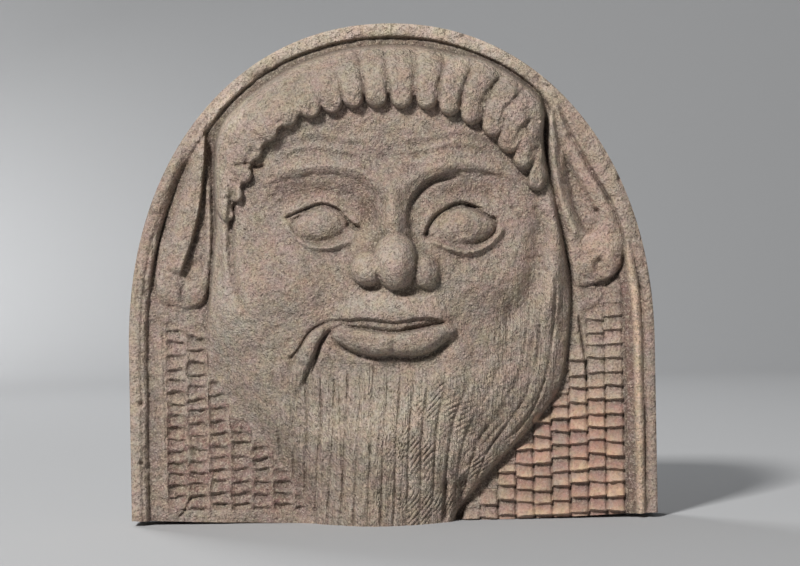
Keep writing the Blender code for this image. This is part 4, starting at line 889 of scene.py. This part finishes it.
def stains_and_painted_light(slab):
    """Named shares of 0 to 1 over the front for the clay's colours to be mixed by: stains, wear, and
    painted light and shade.
    """
    x, z = slab.x, slab.z
    right_foot = smoothstep(60, 64, x) * smoothstep(126, 104, z)
    bead = right_foot * np.exp(-(((slab.edge - BEAD_MIDDLE) / 2.0) ** 4))
    flat = right_foot * smoothstep(8.6, 9.6, slab.edge) * smoothstep(13.5, 12.4, slab.edge)
    # the top of the rim made paler: painted light
    rim_top_painted_light = smoothstep(180, 200, z) * smoothstep(10, 7, slab.edge)
    brick = smoothstep(0, 0.5, slab.brick)
    reddish = smoothstep(66, 46, z + 6 * noise(x, z, 16, 301, 2))
    left_paint = brick * (x < 0) * np.clip(0.35 + 0.65 * reddish, 0.0, 1.0) * np.clip(slab.brick, 0, 1)
    right_paint = brick * (x > 0) * np.clip(0.15 + 0.85 * reddish, 0.0, 1.0)
    # how far each point lies below its surroundings: the recesses are darkened by dirt and by painted shade
    sunk = np.maximum(blurred(slab.h, 5.0) - slab.h, 0) / 2.2
    proud = slab.h - blurred(slab.h, 2.4)
    return {
        # darkened hollows: dirt and painted shade in the recesses, on the foot's recessed flat and in the
        # painted shade patches
        "hollow": np.clip(sunk + 0.3 * flat + patches(slab, "painted_shade"), 0.0, 1.0),
        "crest": np.clip(proud / 0.8, 0.0, 1.0),
        "mauve_and_painted_shade": np.maximum(patches(slab, "mauve_and_painted_shade"), 0.9 * flat),
        "green": patches(slab, "green"),
        "pale": np.maximum(patches(slab, "pale"), 0.9 * rim_top_painted_light),
        "rose": np.maximum.reduce([left_paint, flat, patches(slab, "rose")]),
        "salmon": right_paint * (0.4 + 0.6 * smoothstep(36, 58, x)),
        "brick_tone_and_painted_light": slab.brick * 0.5,
        "peach": np.maximum(bead, patches(slab, "peach")),
        "pink": patches(slab, "pink"),
        "combed": slab.hair * smoothstep(-0.5, 0.5, slab.h),
        "rough_hair": np.maximum(slab.fringe, slab.crust),
    }


# ---- the mesh -----------------------------------------------------------------------------


def underside(x):
    """The height of the foot: flat in the middle, eased up to the corners."""
    past = np.abs(x - ARCH_MIDDLE) - FOOT_FLAT_HALF
    return FOOT_Z + FOOT_EASE * np.clip(past / (ARCH_HALF_WIDTH - FOOT_FLAT_HALF), 0.0, 1.0) ** 1.5


def drawn_in(x, z, h):
    """Where a point of the layout stands once the relief tapers."""
    share = 1.0 - TAPER * h
    return TAPER_X + (x - TAPER_X) * share, TAPER_Z + (z - TAPER_Z) * share


def along_border(path, start, end, count):
    """Evenly spaced points over a stretch of a path, from one share of its length to another."""
    run = np.concatenate([[0.0], np.cumsum(np.linalg.norm(np.diff(path, axis=0), axis=1))])
    at = np.linspace(start, end, count) * run[-1]
    return np.stack([np.interp(at, run, path[:, 0]), np.interp(at, run, path[:, 1])], axis=1)


def foot_line(slab, x):
    """Where the foot's front edge lies in the layout, so that the taper brings it onto the underside."""
    z = underside(x)
    for _ in range(6):
        share = 1.0 - TAPER * slab.sample(x, z)
        z = TAPER_Z + (underside(x) - TAPER_Z) / share
    return z


def fit_to_arch(slab, u, v, across, up):
    """A square's points, 0 to 1 each way, spread over the arch between its four sides."""
    outline = arch_outline(underside(ARCH_MIDDLE - ARCH_HALF_WIDTH))
    left = along_border(outline, 0.0, SHOULDER, up)
    top = along_border(outline, SHOULDER, 1.0 - SHOULDER, across)
    right = along_border(outline, 1.0, 1.0 - SHOULDER, up)
    x = np.linspace(left[0, 0], right[0, 0], across)
    bottom = np.stack([x, foot_line(slab, x)], axis=1)
    bottom[0], bottom[-1] = left[0], right[0]
    i, j = np.rint(u * (across - 1)).astype(int), np.rint(v * (up - 1)).astype(int)
    u, v = u[:, None], v[:, None]
    corners = (1 - v) * ((1 - u) * left[0] + u * right[0]) + v * ((1 - u) * left[-1] + u * right[-1])
    return (1 - v) * bottom[i] + v * top[i] + (1 - u) * left[j] + u * right[j] - corners


def vertex_places(mesh):
    """The places of a mesh's vertices, one row each."""
    spots = np.empty(len(mesh.vertices) * 3)
    mesh.vertices.foreach_get("co", spots)
    return spots.reshape(-1, 3)


def clay_grid(slab, across, up):
    """A grid spread over the arch: its mesh and its points in the layout."""
    mesh = bpy.data.meshes.new(PIECE)
    bm = bmesh.new()
    bmesh.ops.create_grid(bm, x_segments=across - 1, y_segments=up - 1, size=0.5)
    bm.to_mesh(mesh)
    bm.free()
    spots = vertex_places(mesh)
    return mesh, fit_to_arch(slab, spots[:, 0] + 0.5, spots[:, 1] + 0.5, across, up)


def front_mesh(slab, rim_plane):
    """The grid of the front, raised to the relief."""
    mesh, layout = clay_grid(slab, GRID_ACROSS, GRID_UP)
    h = slab.sample(layout[:, 0], layout[:, 1])
    x, z = drawn_in(layout[:, 0], layout[:, 1], h)
    placed = np.stack([x - ARCH_MIDDLE, rim_plane - h, z - FOOT_Z], axis=1) * MM
    mesh.vertices.foreach_set("co", placed.ravel())
    return mesh


def back_mesh(slab, back):
    """The grid of the back, smoothed by hand: broad strokes of the fingers and a worn edge."""
    mesh, layout = clay_grid(slab, BACK_ACROSS, BACK_UP)
    x, z = drawn_in(layout[:, 0], layout[:, 1], slab.sample(layout[:, 0], layout[:, 1]))
    edge = slab.sample(layout[:, 0], layout[:, 1], slab.edge)
    inner = smoothstep(0.0, 2.5, np.minimum(edge, layout[:, 1] - FOOT_Z))
    strokes = np.sin((x + 0.25 * z + 9 * noise(x, z, 60, 401)) / 2.3) * noise(x, z, 34, 411)
    sunk = 0.35 + 0.3 * strokes + 0.35 * noise(x, z, 18, 421, 3)
    y = back - np.clip(sunk, 0.0, 1.0) * inner
    share = 1.0 - 0.004 * (1.0 - inner)
    placed = np.stack([(x - ARCH_MIDDLE) * share, y, z - FOOT_Z], axis=1) * MM
    mesh.vertices.foreach_set("co", placed.ravel())
    return mesh


def into_the_clay(slab, x, z):
    """The direction from a point of the sides straight into the clay."""
    e = slab.edge
    across = slab.sample(x + 1, z, e) - slab.sample(x - 1, z, e)
    up = slab.sample(x, z + 1, e) - slab.sample(x, z - 1, e)
    foot = z < 8.0
    across, up = np.where(foot, 0.0, across), np.where(foot, 1.0, up)
    length = np.maximum(np.hypot(across, up), 0.1)
    return across / length, up / length


def close_behind(bm, slab, front, behind):
    """The front's edge carried back in rings, roughened, and joined to the edge of the back."""
    edges = [edge for edge in front if edge.is_boundary]
    last = behind[0].verts[0].co.y - BACK_ROUNDING * MM
    sides = []
    for ring in range(SIDE_RINGS):
        carried = bmesh.ops.extrude_edge_only(bm, edges=edges)["geom"]
        corners = [item for item in carried if isinstance(item, bmesh.types.BMVert)]
        for vert in corners:
            vert.co.y += (last - vert.co.y) / (SIDE_RINGS - ring)
        sides += corners
        edges = [item for item in carried if isinstance(item, bmesh.types.BMEdge)]
    bmesh.ops.bridge_loops(bm, edges=edges + behind)
    x, y, z = np.array([vert.co for vert in sides]).T / MM
    x, z = x + ARCH_MIDDLE, z + FOOT_Z
    along = np.arctan2(z - 60.0, x) * 100.0
    sunk = 0.2 + 0.3 * noise(along, y, 8, 431, 2) + 0.3 * noise(along, y, 2.4, 441, 2)
    sunk += 0.8 * smoothstep(0.45, 0.8, noise(along, y, 4.5, 451, 2))
    across, up = into_the_clay(slab, x, z)
    for vert, dx, dz in zip(sides, across * sunk * MM, up * np.maximum(sunk, 0.0) * MM):
        vert.co.x += dx
        vert.co.z += dz


def make_mask(slab):
    """The whole antefix as one closed mesh, thinned to the triangles it may keep."""
    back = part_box(NAME)[1].y / MM
    bm = bmesh.new()
    bm.from_mesh(front_mesh(slab, back - RIM_TO_BACK))
    front = list(bm.edges)
    bm.from_mesh(back_mesh(slab, back))
    behind = [edge for edge in bm.edges[len(front):] if edge.is_boundary]
    close_behind(bm, slab, front, behind)
    bmesh.ops.recalc_face_normals(bm, faces=bm.faces)
    whole = bpy.data.meshes.new(PIECE)
    bm.to_mesh(whole)
    bm.free()
    rough = bpy.data.objects.new(PIECE, whole)
    bpy.context.scene.collection.objects.link(rough)
    triangles = sum(len(face.vertices) - 2 for face in whole.polygons)
    rough.modifiers.new("triangles", "TRIANGULATE")
    rough.modifiers.new("fewer triangles", "DECIMATE").ratio = TRIANGLES_KEPT / triangles
    settled = bpy.context.evaluated_depsgraph_get()
    mesh = bpy.data.meshes.new_from_object(rough.evaluated_get(settled))
    bpy.data.objects.remove(rough)
    mesh.shade_smooth()
    mesh.set_sharp_from_angle(angle=radians(SHARP_ANGLE))
    piece = bpy.data.objects.new(PIECE, mesh)
    bpy.context.scene.collection.objects.link(piece)
    return piece


def mark_stains_and_painted_light(piece, slab):
    """Each share of the front's stains and painted light and shade, kept on the vertices; the sides and
    back have none.
    """
    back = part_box(NAME)[1].y / MM
    x, y, z = vertex_places(piece.data).T / MM
    h = np.maximum(back - RIM_TO_BACK - y, slab.h.min())
    share = 1.0 - TAPER * h
    x = TAPER_X + (x + ARCH_MIDDLE - TAPER_X) / share
    z = TAPER_Z + (z + FOOT_Z - TAPER_Z) / share
    in_front = smoothstep(back - COLOUR_MARKS_BEGIN, back - COLOUR_MARKS_WHOLE, y)
    for name, field in stains_and_painted_light(slab).items():
        values = slab.sample(x, z, field) * in_front
        mark = piece.data.attributes.new(name, "FLOAT", "POINT")
        mark.data.foreach_set("value", values.astype(np.float32))


# ---- the finish ---------------------------------------------------------------------------


class Share:
    """A value in a material's recipe. Sums of shares and numbers add the nodes that work them out."""

    def __init__(self, recipe, socket):
        self.recipe, self.socket = recipe, socket

    def worked(self, operation, *values, clamp=False):
        settings = {"operation": operation, "use_clamp": clamp}
        return self.recipe.node("ShaderNodeMath", settings, dict(enumerate(values)))["Value"]

    def __add__(self, other):
        return self.worked("ADD", self, other)

    def __sub__(self, other):
        return self.worked("SUBTRACT", self, other)

    def __rsub__(self, other):
        return self.worked("SUBTRACT", other, self)

    def __mul__(self, other):
        return self.worked("MULTIPLY", self, other)

    __radd__, __rmul__ = __add__, __mul__

    def held(self):
        """Held between 0 and 1."""
        return self.worked("ADD", self, 0.0, clamp=True)

    def between(self, low, high):
        """0 up to low, 1 from high, and smooth between."""
        settings = {"interpolation_type": "SMOOTHSTEP"}
        values = {"Value": self, "From Min": low, "From Max": high}
        return self.recipe.node("ShaderNodeMapRange", settings, values)["Result"]


class Recipe:
    """A material's node tree, filled node by node."""

    def __init__(self, name):
        self.material = bpy.data.materials.new(name)
        self.material.use_nodes = True
        self.tree = self.material.node_tree
        self.tree.nodes.clear()
        self.place = self.node("ShaderNodeTexCoord")["Object"]

    def node(self, kind, settings=(), values=()):
        """Adds a node: its settings first, then the values or links of its sockets; gives its outputs."""
        node = self.tree.nodes.new(kind)
        for name, setting in dict(settings).items():
            setattr(node, name, setting)
        for key, value in dict(values).items():
            if isinstance(key, int):
                socket = node.inputs[key]
            else:
                socket = next(s for s in node.inputs if s.name == key and s.enabled)
            if isinstance(value, Share):
                self.tree.links.new(value.socket, socket)
            else:
                socket.default_value = value
        return {s.name: Share(self, s) for s in node.outputs if s.enabled}

    def grain(self, size, detail, seed, rough=0.5):
        """Noise with bumps of the given size in millimetres, from 0 to 1 around a half."""
        values = {"Vector": self.place, "W": seed, "Scale": 1.0 / (size * MM), "Detail": detail,
                  "Roughness": rough}
        return self.node("ShaderNodeTexNoise", {"noise_dimensions": "4D"}, values)["Fac"]

    def strokes(self, width, length, turn, seed):
        """Noise drawn out along a direction turned from upright, both sizes in millimetres."""
        turned = self.node("ShaderNodeVectorRotate", {"rotation_type": "Y_AXIS"},
                           {"Vector": self.place, "Angle": radians(turn)})["Vector"]
        sizes = (1.0 / (width * MM), 1.0 / (length * MM), 1.0 / (length * MM))
        drawn = self.node("ShaderNodeVectorMath", {"operation": "MULTIPLY"}, {0: turned, 1: sizes})
        values = {"Vector": drawn["Vector"], "W": seed, "Scale": 1.0, "Detail": 2.0, "Roughness": 0.6}
        return self.node("ShaderNodeTexNoise", {"noise_dimensions": "4D"}, values)["Fac"]

    def grains(self, size):
        """Grains of sand of the given size in millimetres: the way from each one's middle, and its tone."""
        values = {"Vector": self.place, "Scale": 1.0 / (size * MM), "Randomness": 1.0}
        cells = self.node("ShaderNodeTexVoronoi", {"feature": "F1"}, values)
        return cells["Distance"], self.node("ShaderNodeSeparateColor", {}, {"Color": cells["Color"]})["Red"]

    def mark(self, name):
        """A share kept on the vertices."""
        return self.node("ShaderNodeAttribute", {"attribute_name": name})["Fac"]

    def mix(self, share, under, over, how="MIX"):
        """One colour laid over another by a share."""
        settings = {"data_type": "RGBA", "blend_type": how}
        return self.node("ShaderNodeMix", settings, {"Factor": share, "A": under, "B": over})["Result"]


CLAY = (0.302, 0.245, 0.204, 1)
CLAY_DARK = (0.215, 0.171, 0.141, 1)
CLAY_WARM = (0.365, 0.258, 0.200, 1)
OCHRE = (0.345, 0.290, 0.200, 1)
ROSY = (0.330, 0.225, 0.190, 1)
SANDY = (0.42, 0.352, 0.283, 1)
# the palest clay, also used as painted light on the strongest pale patches
BLEACHED_AND_PAINTED_LIGHT = (0.57, 0.482, 0.392, 1)
MAUVE = (0.215, 0.156, 0.139, 1)
LICHEN = (0.345, 0.325, 0.272, 1)
ROSE = (0.195, 0.120, 0.104, 1)
SALMON = (0.345, 0.200, 0.152, 1)
CREAM = (0.490, 0.352, 0.240, 1)
PINK = (0.255, 0.148, 0.123, 1)
PEACH = (0.580, 0.440, 0.320, 1)
PINKISH = (0.365, 0.250, 0.208, 1)
# dark brown for dark grains, and for the hollows' dirt and painted shade
SOOT_AND_SHADE = (0.095, 0.072, 0.056, 1)


def terracotta():
    """Coarse, sandy, weathered clay: buff over grey-brown, with hollows darkened by dirt and painted shade,
    patches of painted light and shade, and traces of colour.
    """
    clay = Recipe("weathered_terracotta")
    cloud, blotch = clay.grain(24, 3, 1), clay.grain(7, 4, 2, 0.6)
    fleck, sand = clay.grain(1.5, 3, 3, 0.65), clay.grain(0.62, 2, 4, 0.7)
    way, tone = clay.grains(0.85)
    long_hairs, strokes = clay.strokes(0.8, 9, -4, 21), clay.strokes(0.9, 3.5, 32, 22)
    combed, bricks = clay.mark("combed"), clay.mark("salmon")
    colour = clay.mix(cloud.between(0.38, 0.66), CLAY_DARK, CLAY)
    colour = clay.mix(blotch.between(0.45, 0.70) * 0.55, colour, CLAY_WARM)
    colour = clay.mix(clay.grain(13, 3, 11, 0.6).between(0.48, 0.68) * 0.6, colour, ROSY)
    colour = clay.mix(clay.grain(9, 3, 12, 0.6).between(0.50, 0.70) * 0.55, colour, OCHRE)
    # purplish brown clay, partly painted shade
    colour = clay.mix(clay.mark("mauve_and_painted_shade") * blotch.between(0.25, 0.6), colour, MAUVE)
    colour = clay.mix(clay.mark("green") * blotch.between(0.3, 0.6), colour, LICHEN)
    colour = clay.mix(clay.mark("pink") * clay.grain(11, 3, 13, 0.6).between(0.35, 0.6), colour, PINKISH)
    # paler sandy clay and worn crests; the strongest pale patches are painted light
    colour = clay.mix((clay.mark("pale") * 0.75 + clay.mark("crest") * 0.35).held(), colour, SANDY)
    colour = clay.mix(clay.mark("pale").between(0.72, 1.0) * 0.55, colour, BLEACHED_AND_PAINTED_LIGHT)
    # bricks from pink at their tops to cream at their lower lips: painted light, over a random tone per
    # brick
    brick = clay.mix(clay.mark("brick_tone_and_painted_light").between(0.2, 0.8), PINK, CREAM)
    brick = clay.mix(clay.grain(3.2, 3, 5).between(0.45, 0.62) * 0.7, brick, SALMON)
    colour = clay.mix(bricks * clay.grain(5, 3, 6).between(0.2, 0.55), colour, brick)
    colour = clay.mix(clay.mark("rose") * clay.grain(4, 3, 7).between(0.3, 0.6), colour, ROSE)
    colour = clay.mix(clay.mark("peach") * 0.85, colour, PEACH)
    # the hollows darkened: dirt and painted shade
    colour = clay.mix((clay.mark("hollow") * 0.75).held(), colour, SOOT_AND_SHADE)
    coarse = 1.0 - bricks * 0.6
    colour = clay.mix(fleck.between(0.52, 0.75) * coarse * 0.50, colour, SANDY)
    colour = clay.mix(fleck.between(0.46, 0.26) * coarse * 0.58, colour, SOOT_AND_SHADE)
    colour = clay.mix(tone.between(0.70, 1.0) * coarse * 0.46, colour, SANDY)
    colour = clay.mix(tone.between(0.28, 0.0) * coarse * 0.44, colour, SOOT_AND_SHADE)
    colour = clay.mix(sand.between(0.53, 0.68) * coarse * 0.85, colour, SANDY)
    colour = clay.mix(sand.between(0.47, 0.32) * coarse * 0.75, colour, SOOT_AND_SHADE)
    colour = clay.mix(combed * long_hairs.between(0.45, 0.30) * 0.5, colour, SOOT_AND_SHADE)
    colour = clay.mix(combed * long_hairs.between(0.50, 0.64) * 0.7, colour, SANDY)
    yellowing, reddening = clay.grain(6, 7, 14, 0.82), clay.grain(8, 7, 15, 0.82)
    tint = clay.mix(yellowing.between(0.38, 0.62), (0.99, 1.0, 1.06, 1), (1.01, 1.0, 0.93, 1))
    colour = clay.mix(1.0, colour, tint, "MULTIPLY")
    tint = clay.mix(reddening.between(0.38, 0.62), (0.955, 1.01, 0.99, 1), (1.065, 0.98, 1.0, 1))
    colour = clay.mix(1.0, colour, tint, "MULTIPLY")
    pits = clay.grain(1.3, 2, 8).between(0.40, 0.28)
    sandy = fleck * 0.9 + sand * 0.7 - pits * 0.6 + (1.0 - way) * tone.between(0.2, 0.9) * 0.5
    rough = clay.mark("rough_hair") * clay.grain(2.4, 3, 9, 0.7)
    hairs = long_hairs.between(0.40, 0.60) * 0.45 + strokes.between(0.42, 0.58) * 0.5
    lumps = clay.grain(3.4, 2, 10, 0.5)
    height = sandy * coarse + combed * hairs + rough * 2.0 + lumps * coarse * 1.2
    bump = clay.node("ShaderNodeBump", {}, {"Strength": 1.0, "Distance": 0.0009, "Height": height})
    clay.node("ShaderNodeOutputMaterial", {}, {"Surface": clay.node("ShaderNodeBsdfPrincipled", {}, {
        "Base Color": colour, "Roughness": 0.84 + 0.12 * fleck, "Normal": bump["Normal"],
        "Specular IOR Level": 0.25,
    })["BSDF"]})
    return clay.material


# ---- the studio ---------------------------------------------------------------------------

# The paper's colours, and in metres how far it reaches to each side, to the front and to the back, where
# it curves up into a wall
PAPER = (0.37, 0.376, 0.385, 1)
PAPER_LIGHT = (0.46, 0.465, 0.475, 1)
FLOOR_HALF_WIDTH = 4.0
FLOOR_FRONT, FLOOR_BACK = -3.0, 1.6
WALL_CURVE = 1.0
WALL_ABOVE = 2.5

# The camera: how far it stands before the rim's front, where it looks and what width it takes in there,
# in metres, and how far it is turned, in degrees
RIM_PLANE_TO_CAMERA = 1.05
VIEW_X, VIEW_Z = 0.00387, 0.10004
FRAME_WIDTH = 0.3346
SENSOR_WIDTH = 36.0
CAMERA_TURN = 1


def paper_sweep():
    """A floor of pale paper that curves up far behind into a wall."""
    mesh = bpy.data.meshes.new("paper_sweep")
    bm = bmesh.new()
    ends = [bm.verts.new((x, FLOOR_FRONT, 0.0)) for x in (-FLOOR_HALF_WIDTH, FLOOR_HALF_WIDTH)]
    edge = bm.edges.new(ends)

    def carry(edges, vec):
        moved = bmesh.ops.extrude_edge_only(bm, edges=edges)["geom"]
        bmesh.ops.translate(bm, verts=[v for v in moved if isinstance(v, bmesh.types.BMVert)], vec=vec)
        return [e for e in moved if isinstance(e, bmesh.types.BMEdge)]

    floor = carry([edge], (0, FLOOR_BACK - FLOOR_FRONT, 0))
    turned = bmesh.ops.spin(bm, geom=floor, cent=(0, FLOOR_BACK, WALL_CURVE), axis=(1, 0, 0),
                            angle=pi / 2, steps=24)
    carry([e for e in turned["geom_last"] if isinstance(e, bmesh.types.BMEdge)], (0, 0, WALL_ABOVE))
    bmesh.ops.remove_doubles(bm, verts=bm.verts, dist=1e-5)
    bmesh.ops.recalc_face_normals(bm, faces=bm.faces)
    bm.to_mesh(mesh)
    bm.free()
    mesh.shade_smooth()
    paper = Recipe("matt_paper")
    tone = paper.mix(paper.grain(900, 1, 9) * 0.2, PAPER, PAPER_LIGHT)
    shader = paper.node("ShaderNodeBsdfPrincipled", {}, {"Base Color": tone, "Roughness": 0.9})["BSDF"]
    paper.node("ShaderNodeOutputMaterial", {}, {"Surface": shader})
    mesh.materials.append(paper.material)
    sweep = bpy.data.objects.new("paper_sweep", mesh)
    bpy.context.scene.collection.objects.link(sweep)


def aimed(name, data, place, target):
    """A light set down and turned towards a target."""
    lamp = bpy.data.objects.new(name, data)
    bpy.context.scene.collection.objects.link(lamp)
    lamp.location = place
    lamp.rotation_euler = (Vector(target) - Vector(place)).to_track_quat("-Z", "Y").to_euler()


def softbox(name, place, size, power, colour=(1, 1, 1)):
    """A square softbox aimed at the middle of the mask."""
    light = bpy.data.lights.new(name, "AREA")
    light.size, light.energy, light.color = size, power, colour
    aimed(name, light, place, (0, 0, 0.1))


def studio():
    """A softbox from the upper left, a weak fill, one from behind, light on the wall, and a pale room."""
    paper_sweep()
    softbox("key_softbox", (-1.17, -2.60, 1.95), 0.42, 162, (1.0, 0.985, 0.965))
    softbox("fill_softbox", (1.1, -1.4, 0.3), 1.2, 1.0)
    softbox("back_softbox", (-0.9, 1.5, 1.3), 0.7, 20)
    wash = bpy.data.lights.new("wall_wash", "SPOT")
    wash.energy, wash.spot_size, wash.spot_blend = 115, radians(58), 1.0
    wash.shadow_soft_size = 0.3
    aimed("wall_wash", wash, (-1.4, 1.1, 1.0), (-0.90, 2.1, 0.0))
    world = bpy.data.worlds.new("pale_room")
    bpy.context.scene.world = world
    world.use_nodes = True
    sky = world.node_tree.nodes["Background"].inputs
    sky["Color"].default_value, sky["Strength"].default_value = (0.93, 0.96, 1.0, 1), 0.14
    bpy.context.scene.view_settings.view_transform = "Standard"


def camera():
    """Straight in front of the mask, turned a degree."""
    data = bpy.data.cameras.new("camera")
    data.sensor_width = SENSOR_WIDTH
    data.lens = SENSOR_WIDTH * RIM_PLANE_TO_CAMERA / FRAME_WIDTH
    data.clip_start = 0.01
    camera = bpy.data.objects.new("camera", data)
    bpy.context.scene.collection.objects.link(camera)
    rim_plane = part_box(NAME)[1].y - RIM_TO_BACK * MM
    camera.location = (VIEW_X, rim_plane - RIM_PLANE_TO_CAMERA, VIEW_Z)
    camera.rotation_euler = (radians(90), radians(CAMERA_TURN), 0)
    bpy.context.scene.camera = camera


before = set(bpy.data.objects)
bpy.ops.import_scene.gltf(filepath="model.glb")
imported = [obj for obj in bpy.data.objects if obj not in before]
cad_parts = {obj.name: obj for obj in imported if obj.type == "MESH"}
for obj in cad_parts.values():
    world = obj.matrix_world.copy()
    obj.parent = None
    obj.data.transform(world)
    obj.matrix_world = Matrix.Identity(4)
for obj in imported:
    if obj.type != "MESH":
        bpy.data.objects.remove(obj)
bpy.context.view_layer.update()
slab = carve()
mask = make_mask(slab)
mark_stains_and_painted_light(mask, slab)
mask.data.materials.append(terracotta())
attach(mask, "root")
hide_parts(NAME)
camera()
studio()
